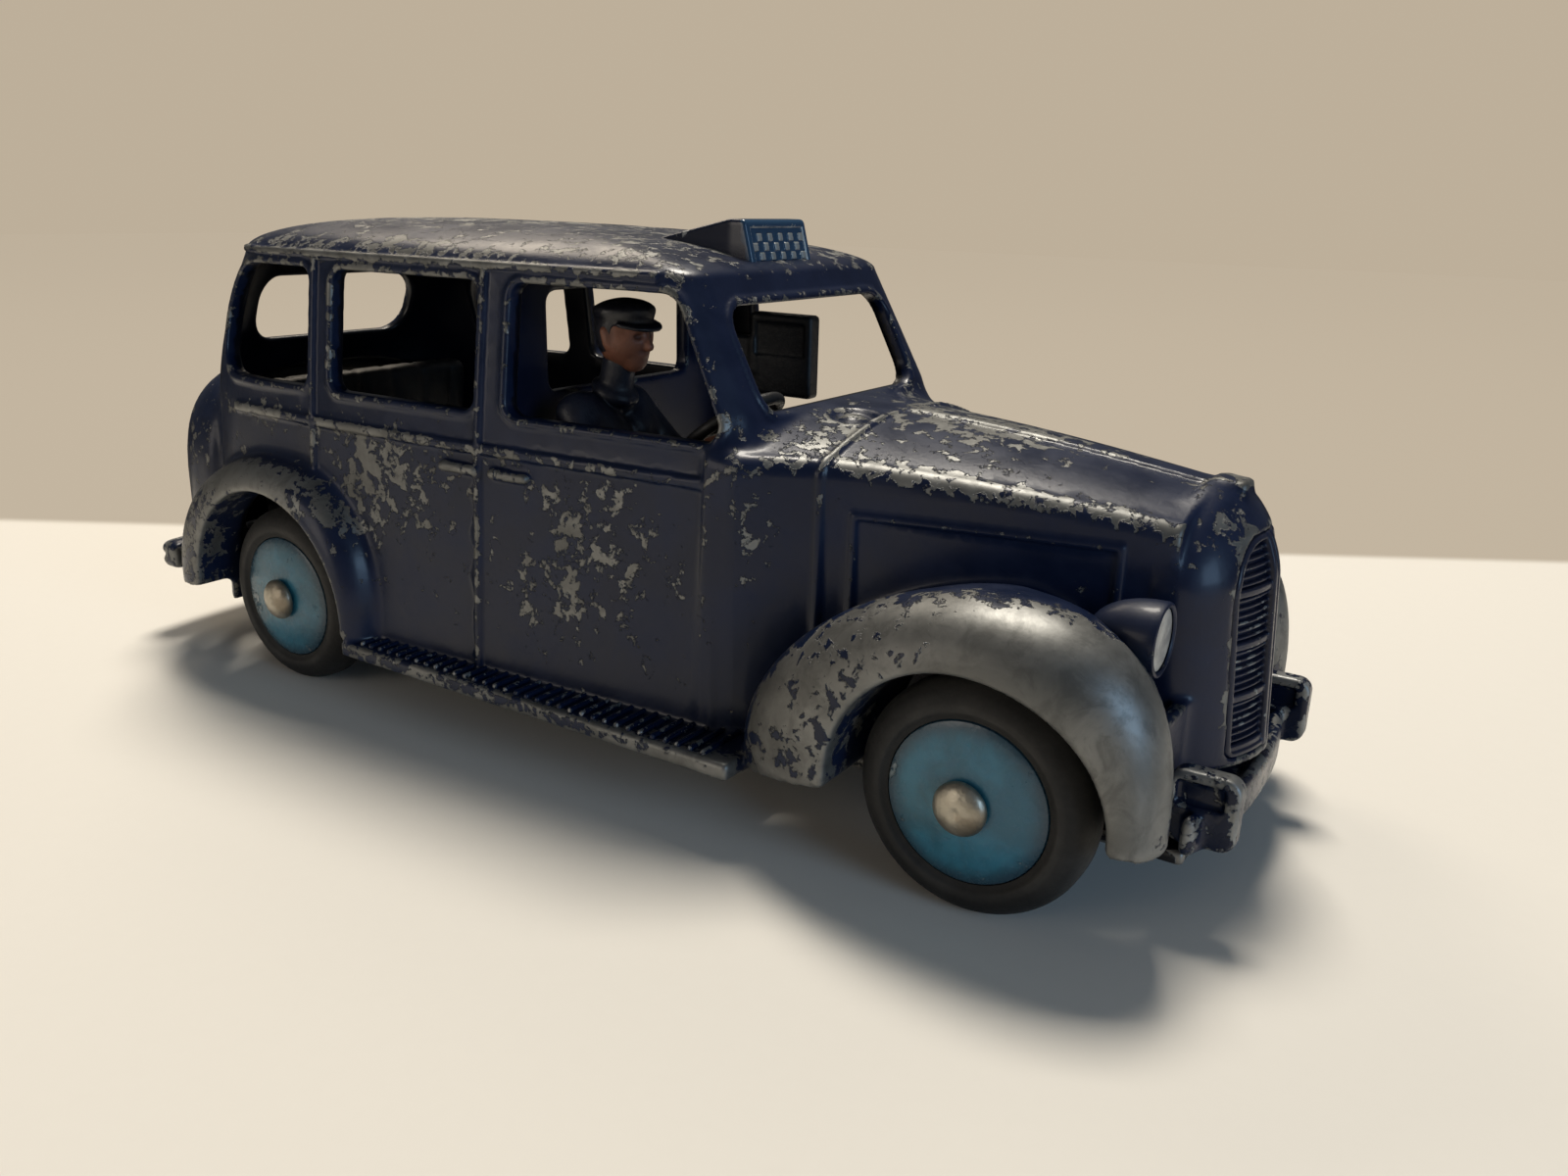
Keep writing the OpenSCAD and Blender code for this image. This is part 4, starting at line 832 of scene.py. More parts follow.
# Body shell: one hollow zinc casting with cab, bonnet, wings, running boards and boot.
# It is finished in dark navy enamel, chipped to grey metal on the roof, wings and every raised edge.
CANT_H = 33.8
ROOF_H = 36.6
SCREEN_FOOT_X = 16.3
SCREEN_FOOT_H = 25.2
SCREEN_RAKE = math.radians(28)
CAB_BACK_X = -41.05
BACK_LEAN = 4
BACK_CORNER_R = 9
SCREEN_CORNER_R = 2.2
ROOF_PEAK_X = -19.6
ROOF_SQUARE = 2.4
WALL = 1.2
BONNET_JOINT_X = 21
RADIATOR_X = 41.3
NOSE_X = 47
BOARD_H = 5.9
LIP_HALF = 18.2
FRONT_ARCH_R = 8.05
REAR_ARCH_R = 8.9
DOOR_FRONT_X = 15.4
DOOR_REAR_X = -21.9
BODY_STEP = 0.19
BODY_BAND = 7
body_first = np.floor(np.array([-47.6, -18.8, 4.2]) / BODY_STEP).astype(int)
body_low = body_first * BODY_STEP
body_count = np.ceil((np.array([47.6, 18.8, 37.4]) - body_low) / BODY_STEP).astype(int)
body_axes = [body_low[i] + BODY_STEP * np.arange(body_count[i], dtype=np.float32) for i in range(3)]
bx, by, bz = body_axes[0][:, None, None], body_axes[1][None, :, None], body_axes[2][None, None, :]


def mix(a, b, t):
    return a + (b - a) * t


def span(value, low, high):
    """Below 0 between low and high."""
    return np.maximum(low - value, value - high)


def level(xs, ys, z):
    """Points at one height."""
    return np.stack([xs, ys, np.full(len(xs), z)], 1)


def round_quarter(a, b, n, degrees):
    """Quadrant of a squared-off ellipse with half axes a and b."""
    angle = np.radians(degrees)
    return a * np.maximum(np.cos(angle), 0) ** (2 / n), b * np.maximum(np.sin(angle), 0) ** (2 / n)


def lofted(rings):
    """Distance field of the closed solid through a stack of rings."""
    rings = np.array(rings, float)
    m, n, _ = rings.shape
    points = np.vstack([rings.reshape(-1, 3), rings[0].mean(0), rings[-1].mean(0)])
    k, i = (v.ravel() for v in np.meshgrid(np.arange(m - 1), np.arange(n), indexing="ij"))
    j = (i + 1) % n
    quads = np.stack([k * n + i, k * n + j, (k + 1) * n + j, (k + 1) * n + i], 1)
    i = np.arange(n)
    j = (i + 1) % n
    foot = np.stack([np.full(n, m * n), j, i], 1)
    head = np.stack([np.full(n, m * n + 1), (m - 1) * n + i, (m - 1) * n + j], 1)
    grid = vdb.FloatGrid.createLevelSetFromPolygons(
        points.astype(np.float32),
        np.vstack([foot, head]).astype(np.uint32),
        quads.astype(np.uint32),
        vdb.createLinearTransform(BODY_STEP),
        BODY_BAND,
    )
    field = np.empty(body_count, np.float32)
    grid.copyToArray(field, ijk=tuple(int(v) for v in body_first))
    return field


def both_halves(half):
    """Closed ring from its left half, whose first and last points lie on the middle line."""
    return np.vstack([half, half[-2:0:-1] * [1, -1, 1]])


def cab_ring(z, grow):
    x0 = CAB_BACK_X + BACK_LEAN * (max(0, z - BELT_H) / (CANT_H - BELT_H)) ** 1.8 - grow
    x1 = SCREEN_FOOT_X - max(0, z - SCREEN_FOOT_H) * math.tan(SCREEN_RAKE) + grow
    r0, r1 = BACK_CORNER_R + grow, max(0.3, SCREEN_CORNER_R + grow)
    back = np.radians(np.linspace(90, 0, 22))
    nose = np.radians(np.linspace(0, 90, 12))
    xs = np.concatenate([
        x0 + r0 * (1 - np.sin(back)),
        np.linspace(x0 + r0, x1 - r1, 40)[1:-1],
        x1 - r1 * (1 - np.sin(nose)),
    ])
    cut = np.concatenate([r0 * (1 - np.cos(back)), np.zeros(38), r1 * (1 - np.cos(nose))])
    ys = side_half(xs) + grow - float(lean_in(np.float64(z))) - cut
    half = level(xs, ys, z)
    return both_halves(np.vstack([[x0, 0, z], half, [x1, 0, z]]))


def cab(grow, foot):
    levels = [*np.linspace(foot, BELT_H, 6), *np.linspace(BELT_H, CANT_H, 10)[1:]]
    rings = [cab_ring(z, grow) for z in levels]
    edge = rings[-1]
    rise = ROOF_H + grow - CANT_H
    for turn in np.linspace(0, 88.5, 24)[1:]:
        share, _ = round_quarter(1, rise, ROOF_SQUARE, turn)
        z = CANT_H + rise * math.sin(math.radians(turn))
        rings.append(level(mix(ROOF_PEAK_X, edge[:, 0], share), edge[:, 1] * share, z))
    return lofted(rings)


def along_bonnet(x):
    return (x - BONNET_JOINT_X) / (RADIATOR_X - BONNET_JOINT_X)


def bonnet_half(x):
    flare = 2.4 * (np.maximum(0, BONNET_JOINT_X + 2 - x) / 6.6) ** 1.7
    return np.minimum(side_half(x) - 0.5, mix(21.4, 13.4, along_bonnet(x)) / 2 + flare)


def bonnet_top(x):
    t = (x - SCREEN_FOOT_X) / (RADIATOR_X - SCREEN_FOOT_X)
    return mix(25.9, 23.5, t) + 0.35 * np.sin(np.pi * np.maximum(t, 0))


def bonnet(grow, foot):
    rings = []
    for x in np.linspace(SCREEN_FOOT_X - 2, RADIATOR_X + min(0, grow), 40):
        half, top, crown = bonnet_half(x) + grow, bonnet_top(x) + grow, mix(1.8, 1.2, along_bonnet(x))
        r = max(0.3, 1.1 + grow)
        turn = np.radians(np.linspace(0, 90, 9))
        u = 1 - np.linspace(0, 1, 16)[1:]
        ys = np.concatenate([[-half], -half + r * (1 - np.cos(turn)), -(half - r) * u])
        zs = np.concatenate([[foot], top - crown - r + r * np.sin(turn), top - crown * u * u])
        side = np.stack([np.full(len(ys), x), ys, zs], 1)
        rings.append(np.vstack([side, side[-2::-1] * [1, -1, 1]]))
    return lofted(rings)


RADIATOR_FOOT = 7.7
RADIATOR_WAIST = 18.6
RADIATOR_TOP = 24.0
RADIATOR_HALF = 6.95
RADIATOR_DEPTH = 4.9
RADIATOR_DRAFT = 0.07
RADIATOR_SQUARE = 1.75
RADIATOR_CURVE = 1.25


def radiator_rings():
    turn = np.linspace(0, 90, 20)
    levels = [(z, 1) for z in np.linspace(RADIATOR_FOOT, RADIATOR_WAIST, 10)]
    for a in np.radians(np.linspace(0, 87, 20)[1:]):
        rise = (RADIATOR_TOP - RADIATOR_WAIST) * math.sin(a) ** RADIATOR_CURVE
        levels.append((RADIATOR_WAIST + rise, math.cos(a)))
    rings = []
    for z, share in levels:
        depth = RADIATOR_DEPTH - RADIATOR_DRAFT * (z - RADIATOR_FOOT)
        y, x = round_quarter(RADIATOR_HALF, depth, RADIATOR_SQUARE, turn)
        xs = np.concatenate([[-1, -1], x]) * share + RADIATOR_X
        ys = np.concatenate([[0, RADIATOR_HALF], y]) * share
        rings.append(both_halves(level(xs, ys, z)))
    return rings


def boot(grow, foot):
    reach, half_w, rise, waist = 7.7 + grow, 14.25 + grow, 12.3 + grow, 12.2
    turn = np.linspace(0, 180, 41)

    def ring(z, share):
        x, y = round_quarter(reach, half_w, 2.8, np.minimum(turn, 180 - turn))
        x = np.where(turn > 90, -0.4 * x, x)
        return both_halves(level(CAB_BACK_X + 2.5 - share * x, share * y, z))

    rings = [ring(z, 1) for z in (foot, waist)]
    for a in np.linspace(0, 87, 18)[1:]:
        share, up = round_quarter(1, rise, 3.4, a)
        rings.append(ring(waist + up, share))
    return lofted(rings)


def wing(axle_x, arch_r, nose, crown, tail, squares, tuck, crest, root, root_share, drops):
    """A wing on the left side: a rounded section carried over its wheel arch."""

    def section(degrees, drop):
        turn = math.radians(degrees)
        fore = max(0, math.cos(turn))
        lip = LIP_HALF - tuck * fore**2
        root_y = mix(root, max(root, 10.6), fore**0.7)
        inner = (arch_r - 0.2) * np.array([math.cos(turn), math.sin(turn)])
        if degrees <= 90:
            outer = np.array(round_quarter(arch_r + nose, arch_r + crown, squares[0], degrees))
        else:
            outer = np.array(round_quarter(arch_r + tail, arch_r + crown, squares[1], 180 - degrees))
            outer = outer * [-1, 1]
        y, share = round_quarter(lip - crest, 1, 2.3, np.linspace(0, 90, 14))
        ys = np.concatenate([[root_y], crest + y, [mix(crest, root_y, 0.5), root_y]])
        shares = np.concatenate([[0], share, [mix(1, root_share, 0.3), root_share]])
        place = inner + shares[:, None] * (outer - inner)
        low = drop * mix(0.35, 1, shares)
        return np.stack([axle_x + place[:, 0], ys, AXLE_H + place[:, 1] - low], 1)

    over = [section(a, 0) for a in np.linspace(0, 180, 61)]
    return lofted([section(0, drops[0]), *over, section(180, drops[1])])


def hull_of(circles):
    """Outline round a set of circles (x, z, radius), anticlockwise."""
    turn = np.radians(np.arange(0, 360, 9))
    cloud = np.vstack([[c[0] + c[2] * np.cos(turn), c[1] + c[2] * np.sin(turn)] for c in circles])
    cloud = cloud.reshape(-1, 2, len(turn)).transpose(0, 2, 1).reshape(-1, 2)
    cloud = cloud[np.lexsort((cloud[:, 1], cloud[:, 0]))]

    def chain(points):
        kept = []
        for p in points:
            while len(kept) > 1 and np.cross(kept[-1] - kept[-2], p - kept[-2]) <= 1e-9:
                kept.pop()
            kept.append(p)
        return kept[:-1]

    return np.array(chain(cloud) + chain(cloud[::-1]))


def flat_field(circles, u, v):
    """Distance in a flat view to the outline round a set of circles."""
    outline = hull_of(circles)
    near = np.full(np.broadcast(u, v).shape, 1e9, np.float32)
    inside = np.ones(near.shape, bool)
    for a, b in zip(outline, np.roll(outline, -1, 0)):
        way = b - a
        du, dv = u - a[0], v - a[1]
        t = np.clip((du * way[0] + dv * way[1]) / way.dot(way), 0, 1)
        near = np.minimum(near, (du - t * way[0]) ** 2 + (dv - t * way[1]) ** 2)
        inside &= way[0] * dv - way[1] * du >= 0
    return (np.sqrt(near) * np.where(inside, -1, 1)).astype(np.float32)


WINDOW_LOW, WINDOW_TOP, WINDOW_R = 24.3, 33.0, 1.0
SLANT = (WINDOW_TOP - WINDOW_LOW) * math.tan(SCREEN_RAKE)


def upright_pane(x0, x1, r=WINDOW_R):
    return [(x, z, r) for x in (x0 + r, x1 - r) for z in (WINDOW_LOW + r, WINDOW_TOP - r)]


def raked_pane(x0, x1, low):
    r = WINDOW_R
    pane = [(x0 + r, low + r, r), (x0 + r, WINDOW_TOP - r, r), (x1 - 1.4 * r, WINDOW_LOW + r, r)]
    foot = (x1 - r, low + r, r) if low < WINDOW_LOW else pane[2]
    return [*pane, foot, (x1 - SLANT - 0.6 * r, WINDOW_TOP - 1.6 * r, 1.6 * r)]


def end_pane(half, low, top, r):
    return [(y, z, r) for y in (r - half, half - r) for z in (low + r, top - r)]


QUARTER_X1 = DOOR_REAR_X - 0.6
QUARTER_X0 = QUARTER_X1 - 11.2
rear_pane = upright_pane(DOOR_REAR_X + 2.1, DOOR_MID_X - 0.5)
front_pane = raked_pane(DOOR_MID_X + 2.4, DOOR_FRONT_X - 0.45, WINDOW_LOW)
bay_pane = raked_pane(DOOR_MID_X + 3.9, DOOR_FRONT_X - 0.45, 8.0)
quarter_pane = [
    (QUARTER_X0 + 2.2, WINDOW_LOW + 2.2, 2.2),
    (QUARTER_X1 - 1, WINDOW_LOW + 1, 1),
    (QUARTER_X1 - 1, WINDOW_TOP - 1, 1),
    (QUARTER_X0 + 4.4, WINDOW_TOP - 4.4, 4.4),
]
side_u, side_v = body_axes[0][:, None], body_axes[2][None, :]
end_u, end_v = body_axes[1][:, None], body_axes[2][None, :]
pair = np.minimum(flat_field(rear_pane, side_u, side_v), flat_field(quarter_pane, side_u, side_v))
right_glass = np.minimum(pair, flat_field(front_pane, side_u, side_v))[:, None, :]
left_glass = np.minimum(pair, flat_field(bay_pane, side_u, side_v))[:, None, :]
side_glass = np.where(by < 0, right_glass, left_glass)
FAR_OFF = 9
screen_pane = end_pane(half=9.8, low=25.8, top=32.2, r=1.6)
screen_glass = np.where(bx > 2, flat_field(screen_pane, end_u, end_v)[None, :, :], FAR_OFF)
back_pane = end_pane(half=8.2, low=25.9, top=31.3, r=2.2)
rear_glass = np.where(bx < ROOF_PEAK_X, flat_field(back_pane, end_u, end_v)[None, :, :], FAR_OFF)

# outer form, joined with fillets
cab_field = cab(0, SILL_H)
bonnet_field = bonnet(0, SILL_H)
shell = soft_min(cab_field, bonnet_field, 1.1)
shell = soft_min(shell, boot(0, 8.35), 0.8)
radiator_field = lofted(radiator_rings())
shell = soft_min(shell, radiator_field, 0.5)
apron = slab(bx, by, bz, (42, -11.8, SILL_H), (42.9, 11.8, 12.2), 0.2)
shell = soft_min(shell, apron, 0.5)
front_wing = wing(
    FRONT_AXLE_X, FRONT_ARCH_R, nose=2.45, crown=3.7, tail=7.8, squares=(2.7, 1.75),
    tuck=1.4, crest=13.6, root=6.9, root_share=0.5, drops=(0.6, 2),
)
rear_wing = wing(
    REAR_AXLE_X, REAR_ARCH_R, nose=2.1, crown=2.5, tail=4.9, squares=(2.4, 2),
    tuck=0, crest=14.85, root=13.65, root_share=1, drops=(2, 0.9),
)
wings = np.minimum(front_wing, rear_wing)
del front_wing, rear_wing
mirror_j = np.clip(np.round((-body_axes[1] - body_low[1]) / BODY_STEP).astype(int), 0, body_count[1] - 1)
wings = np.minimum(wings, wings[:, mirror_j, :])
shell = soft_min(shell, wings, 0.8)
del wings
boards = slab(bx, np.abs(by), bz, (-17.1, 13.3, SILL_H), (19.05, LIP_HALF, BOARD_H), 0.3)
shell = soft_min(shell, boards, 0.35)

# raised work: window frames, door lines, belt, drip rail, bonnet lines, handles and filler cap
BEAD_H, BEAD_W, DOOR_LINE_HALF = 0.22, 0.6, 0.28
proud = cab_field - BEAD_H
ridges = cab_field - 0.3
frames = soft_max(proud, np.minimum(side_glass, screen_glass) - BEAD_W, 0.25)
shell = soft_min(shell, frames, 0.16)
lines = np.abs(bx - DOOR_MID_X)
lines = np.minimum(lines, np.abs(bx - DOOR_REAR_X))
lines = soft_max(lines - DOOR_LINE_HALF, span(bz, BOARD_H, CANT_H), 0.2)
front_line = np.abs(bx - DOOR_FRONT_X + DOOR_LINE_HALF) - DOOR_LINE_HALF
front_line = np.maximum(front_line, np.maximum(BOARD_H - bz, bz - BELT_H - 1))
lines = np.minimum(lines, front_line)
SIDE_BACK_X = CAB_BACK_X + BACK_CORNER_R
DRIP_FRONT_X = 9.4
belt = np.maximum(np.abs(bz - BELT_H + 0.37) - 0.37, span(bx, SIDE_BACK_X, DOOR_FRONT_X))
drip = np.maximum(np.abs(bz - CANT_H - 0.25) - 0.25, span(bx, SIDE_BACK_X, DRIP_FRONT_X))
shell = soft_min(shell, soft_max(ridges, np.minimum(np.minimum(lines, belt), drip), 0.16), 0.1)
del frames, lines, belt, drip, front_line, proud, ridges
strip = np.maximum(np.abs(by) - 0.9, span(bx, BONNET_JOINT_X, RADIATOR_X))
LINE_HALF = 0.21
joint = np.abs(bx - BONNET_JOINT_X + 0.2) - LINE_HALF
panel_low_x, panel_high_x, panel_top = BONNET_JOINT_X + 1.8, RADIATOR_X - 3, 20.8
panel_lines = np.abs(bz - panel_top + LINE_HALF) - LINE_HALF
panel_lines = np.maximum(panel_lines, span(bx, panel_low_x, panel_high_x))
uprights = np.minimum(np.abs(bx - panel_low_x), np.abs(bx - panel_high_x)) - LINE_HALF
panel_lines = np.minimum(panel_lines, np.maximum(uprights, bz - panel_top))
raised = soft_max(bonnet_field - 0.24, np.minimum(np.minimum(strip, joint), panel_lines), 0.15)
shell = soft_min(shell, raised, 0.14)
del raised, strip, joint, panel_lines, uprights, bonnet_field
HANDLE_H = BELT_H - 1.9
HANDLE_L = 2.8
for side, x in ((-1, DOOR_MID_X - 3), (-1, DOOR_MID_X + 1.6), (1, DOOR_MID_X - 3)):
    y0, y1 = (side * (side_half(v) - 0.9 + 0.25) for v in (x, x + HANDLE_L))
    handle = limb(bx, by, bz, (x, y0, HANDLE_H), (x + HANDLE_L, y1, HANDLE_H), 0.42, 0.36)
    shell = soft_min(shell, handle, 0.15)
vent = np.hypot(bx - BONNET_JOINT_X + 2.1, by + 4.2)
vent_relief = 0.36 * hump(vent, 1.15, 0.42) - 0.1 * hump(vent, 1.75, 0.2)
shell = shell + np.where(bz > BELT_H + 1.8, vent_relief, 0).astype(np.float32)
filler = slab(bx, by, bz, (41.5, -1.1, 22.6), (43.2, 1.1, 23.95), 0.35)
shell = soft_min(shell, filler, 0.5)

# cuts: grille recess, inside, windows and wheel wells, with the two rivet posts left standing
GRILLE_DEPTH = 0.9
GRILLE_OUTLINE = [(y, 8.8, 0.6) for y in (-3.6, 3.6)] + [(y, 18.0, 3.2) for y in (-1.3, 1.3)]
grille_view = flat_field(GRILLE_OUTLINE, end_u, end_v)[None, :, :]
recess = np.maximum(np.maximum(grille_view, 42.7 - bx), -(radiator_field + GRILLE_DEPTH))
shell = soft_max(shell, -recess, 0.2)
del recess, radiator_field
inside = np.minimum(cab(-WALL, -1), bonnet(-WALL, -1))
inside = np.minimum(inside, boot(-WALL, 7.35))
outer_side = inside - WALL / 2
shell = soft_max(shell, -inside, 0.3)
del inside
glass = np.minimum(np.minimum(side_glass, screen_glass), rear_glass)
shell = soft_max(shell, -glass, 0.34)
del glass, side_glass, screen_glass, rear_glass
for x, arch_r, inner_y in ((FRONT_AXLE_X, FRONT_ARCH_R, 6.48), (REAR_AXLE_X, REAR_ARCH_R, 8.48)):
    well = np.hypot(bx - x, np.maximum(bz - AXLE_H, 0)) - arch_r
    shell = soft_max(shell, -np.maximum(well, inner_y - np.abs(by)), 0.45)
POST_R = 1.65
for x, top in ((POST_FRONT_X, 24.4), (POST_REAR_X, 19.2)):
    post = np.maximum(np.hypot(bx - x, by) - POST_R, span(bz, SILL_H, top))
    shell = soft_min(shell, post, 0.3)
shell = soft_max(shell, SILL_H - bz, 0.2)
body = skin("body_casting", shell, body_low, BODY_STEP, 190_000, 0.55)

WEAR_ZONES = [
    # centre, reach and depth of wear
    ((-14, 0, 36.8), (28, 14, 2.4), 0.30),
    ((-16, -14.2, 34.6), (24, 2.6, 1.5), 0.34),
    ((-26, 4, 36.4), (9, 8, 2), 0.12),
    ((6, 0, 35.2), (8, 13, 2.0), 0.20),
    ((-38, 0, 33), (7, 14, 5), 0.16),
    ((-14, -15.6, 17.2), (7.5, 3, 4.6), 0.42),
    ((-11, -15.8, 20.9), (16, 3, 1.4), 0.20),
    ((3, -15.4, 15.5), (5.5, 3, 5), 0.35),
    ((1, -15.4, 10.5), (3.5, 3, 3.4), 0.28),
    ((9, -14.6, 17.5), (5, 3, 3.4), 0.26),
    ((-30, -15, 21.8), (9, 4, 1.2), 0.20),
    ((-33, -15, 16), (8, 4, 5), 0.05),
    ((-44, 0, 18), (6, 16, 9), 0.36),
    ((-28, -17.6, 17.2), (10, 1.5, 2.8), 0.55),
    ((-36, -17, 11), (5, 3, 6), 0.44),
    ((36, -17, 17), (9, 2.8, 3.8), 0.80),
    ((43, -15.5, 12.5), (5.5, 4, 7), 0.95),
    ((23, -17.4, 10), (6.5, 2.4, 7), 0.58),
    ((26, -15, 16), (4.5, 3, 2.2), 0.22),
    ((24, -10, 23.7), (4.5, 1.3, 1), 0.42),
    ((30, -8.8, 23.3), (4, 1.2, 1), 0.45),
    ((36, -7.7, 22.9), (4, 1.2, 1), 0.5),
    ((40, -7, 22.6), (2.5, 1.1, 1), 0.45),
    ((27, -3, 25.2), (11, 8, 1.4), 0.24),
    ((43.8, -4.2, 21.8), (2.2, 2.2, 2), 0.46),
    ((43, 0, 24), (3, 4, 1.2), 0.26),
    ((18.5, -8.5, 24.6), (2.6, 3, 1.6), 0.34),
    ((16.5, -13.2, 22.4), (2.2, 3, 2.6), 0.30),
    ((1, -18.2, 5.4), (20, 0.7, 0.9), 0.36),
]
places = points_of(body)
worn = np.full(len(places), 0.13)
for centre, reach, depth in WEAR_ZONES:
    for side in (1, -1):
        if side < 0 and centre[1] == 0:
            continue
        off = (places * [1, side, 1] - centre) / reach
        worn += depth * np.exp(-np.sum(off**2, axis=1))
# points on the inside of the shell get -0.6, which the enamel turns into painted shade
inner_shade_depth = field_at(outer_side, body_low, BODY_STEP, places)
worn = np.where(inner_shade_depth < 0.02, -0.6, np.clip(worn, 0, 1))
put_attribute(body, "worn", worn)
del shell, cab_field, outer_side, inner_shade_depth
NAVY = (0.0040, 0.0088, 0.028)
navy_enamel = enamel("navy_enamel", NAVY, ALLOY, worn="worn", flake=1000.0, edge=1.2, gloss=0.29)
dress(body, navy_enamel, "car", "navy_paint", "body_shell")

# Running board ribs: fine cross ribs cast along the top of each board.
# Their tips are rubbed to bright metal, with dark enamel left between them.
RIB_PITCH = 1.0
RIB_H = 0.3


def ribs_shape(x, y, z):
    across = np.abs(np.mod(x + 15.1 + RIB_PITCH / 2, RIB_PITCH) - RIB_PITCH / 2) - 0.2
    top = z - BOARD_H - RIB_H
    made = soft_max(soft_max(across, top, 0.22), np.abs(np.abs(y) - 15.7) - 2.1, 0.2)
    made = soft_max(made, np.abs(x - 1.1) - 16.3, 0.1)
    return soft_max(made, BOARD_H - 0.35 - z, 0.05)


RUBBED_RIB = (0.30, 0.305, 0.305)
rib_finish = enamel("rib_enamel", NAVY, RUBBED_RIB, worn=0.05, flake=1300.0, edge=1.8, gloss=0.2)
for name, y in (("right", -1), ("left", 1)):
    low, high = sorted((y * 13.4, y * 17.9))
    ribs = cast("board_ribs_" + name, (-15.6, low, 5.4), (17.8, high, 6.3), 0.1, ribs_shape, 60_000, 0.25)
    dress(ribs, rib_finish, "car", "navy_paint", "body_shell")

# Radiator grille: a slatted insert behind the radiator's rim, with a bold double bar up its middle.
# It is cast with the body in the real toy; the slat tips and the bar are rubbed bright.
SLAT_FOOT = 8.5
SLAT_PITCH = 0.45
DIVIDER_PITCH = 3.15
FACE_SLOPE = 0.55


def grille_shape(x, y, z):
    share = np.clip((z - RADIATOR_WAIST) / (RADIATOR_TOP - RADIATOR_WAIST), 0, 1)
    draw_in = np.sqrt(np.maximum(1 - share ** (2 / RADIATOR_CURVE), 0))
    half = RADIATOR_HALF * draw_in
    depth = (RADIATOR_DEPTH - RADIATOR_DRAFT * (z - RADIATOR_FOOT)) * draw_in
    u = np.clip(np.abs(y) / np.maximum(half, 0.1), 0, 1)
    face = RADIATOR_X + depth * np.maximum(1 - u**RADIATOR_SQUARE, 0) ** (1 / RADIATOR_SQUARE)
    deep = (x - face) / math.hypot(1, FACE_SLOPE)
    view = flat_field(GRILLE_OUTLINE, y[0], z[0])[None, :, :]
    slat = np.abs(np.mod(z - SLAT_FOOT, SLAT_PITCH) - SLAT_PITCH / 2) - 0.1
    bed = deep + 0.56
    slats = soft_max(deep + 0.26, slat, 0.12)
    dividers = np.abs(np.mod(z - SLAT_FOOT, DIVIDER_PITCH) - SLAT_PITCH / 2) - 0.24
    dividers = soft_max(deep + 0.13, dividers, 0.12)
    bar = np.abs(np.abs(y) - 0.36) - 0.26
    bar = soft_max(deep - 0.02, bar, 0.18)
    rim = soft_max(deep + 0.04, np.abs(view + 0.2) - 0.2, 0.18)
    made = np.minimum(soft_min(soft_min(bed, slats, 0.1), dividers, 0.1), soft_min(bar, rim, 0.1))
    return soft_max(soft_max(made, view, 0.08), -(deep + 0.86), 0.05)


grille = cast_in("radiator_grille", "radiator_slats", 0.075, grille_shape, most=150_000, reach=0.22)
SLAT_NAVY, RUBBED_SLAT = (0.008, 0.011, 0.027), (0.28, 0.30, 0.31)
grille_finish = enamel(
    "grille_enamel", SLAT_NAVY, RUBBED_SLAT, worn=0.12, flake=900.0, edge=1.1, gloss=0.26
)
dress(grille, grille_finish, "car", "navy_paint", "radiator_grille")

# Headlamps: turned bowls standing on the front wings, their lenses touched in with silver paint.
# The bowl and rim keep the navy enamel; the lens is domed inside a thin rim.
LAMP_R = 2.1
LAMP_BACK_X = FRONT_AXLE_X + 8.7 - 4.6
LAMP_Y = 10.5
LAMP_H = 16.9
BOWL_L = 3.65
LENS_SEAT = 3.9


def lamp_profile():
    turn = np.radians(np.linspace(0, 90, 14))
    bowl = [(LAMP_R * math.sin(a), BOWL_L - BOWL_L * math.cos(a)) for a in turn]
    rim = [(0, 3.95), (0.04, 4.1), (0.16, 4.16), (0.28, 4.12), (0.34, 4.02)]
    return [*bowl, *((LAMP_R - inset, along) for inset, along in rim)]


def lens_profile():
    edge = LAMP_R - 0.33
    turn = np.radians(np.linspace(0, 90, 12))
    return [(edge, LENS_SEAT), *((edge * math.cos(a), 3.92 + 0.14 * math.sin(a)) for a in turn)]


SILVER, THIN_SILVER = (0.50, 0.51, 0.50), (0.28, 0.29, 0.30)
THIN = (620.0, 6.0, 0.6, 0.5, 0.42, 0.66)
FLECK = (5200.0, 2.0, 0.5)
lens_silver = mottled("lamp_silver", SILVER, THIN_SILVER, THIN, FLECK, (0.24, 0.46), 0.6, 0.00003)
lamp_enamel = enamel("lamp_enamel", NAVY, ALLOY, worn=0.16, flake=1000.0, edge=1.5, gloss=0.42)
for name, side in (("right", -1), ("left", 1)):
    centre = (LAMP_BACK_X, side * LAMP_Y, LAMP_H)
    bowl = lathe("lamp_bowl_" + name, lamp_profile(), centre, "X", 56)
    on_rim = points_of(bowl)[:, 0] - centre[0] > LENS_SEAT
    put_attribute(bowl, "ridge", np.where(on_rim, 0.1, 0.0))
    dress(bowl, lamp_enamel, "car", "navy_paint", "headlamp_" + name)
    lens = lathe("lamp_lens_" + name, lens_profile(), centre, "X", 56)
    dress(lens, lens_silver, "car", "lamp_silver", "headlamp_" + name)

# Roof sign: a wedge cast on the front of the roof, with a raised rim round its leaning face.
# The face is bright blue with a plain raised chequer band, rubbed to metal on its high spots.
SIGN_FRONT_X = 10.6
SIGN_HALF = 3.75
SIGN_TOP = 37.4
SIGN_FOOT = 34.0
CHEQUER_FOOT = 34.7
SIGN_TAIL_X = SIGN_FRONT_X - 8.6
ROOF_RUN = 11.73 - ROOF_PEAK_X


def roof_at(x):
    run = np.maximum(x - ROOF_PEAK_X, 0) / ROOF_RUN
    return CANT_H + (ROOF_H - CANT_H) * np.sqrt(np.maximum(1 - run**ROOF_SQUARE, 0))


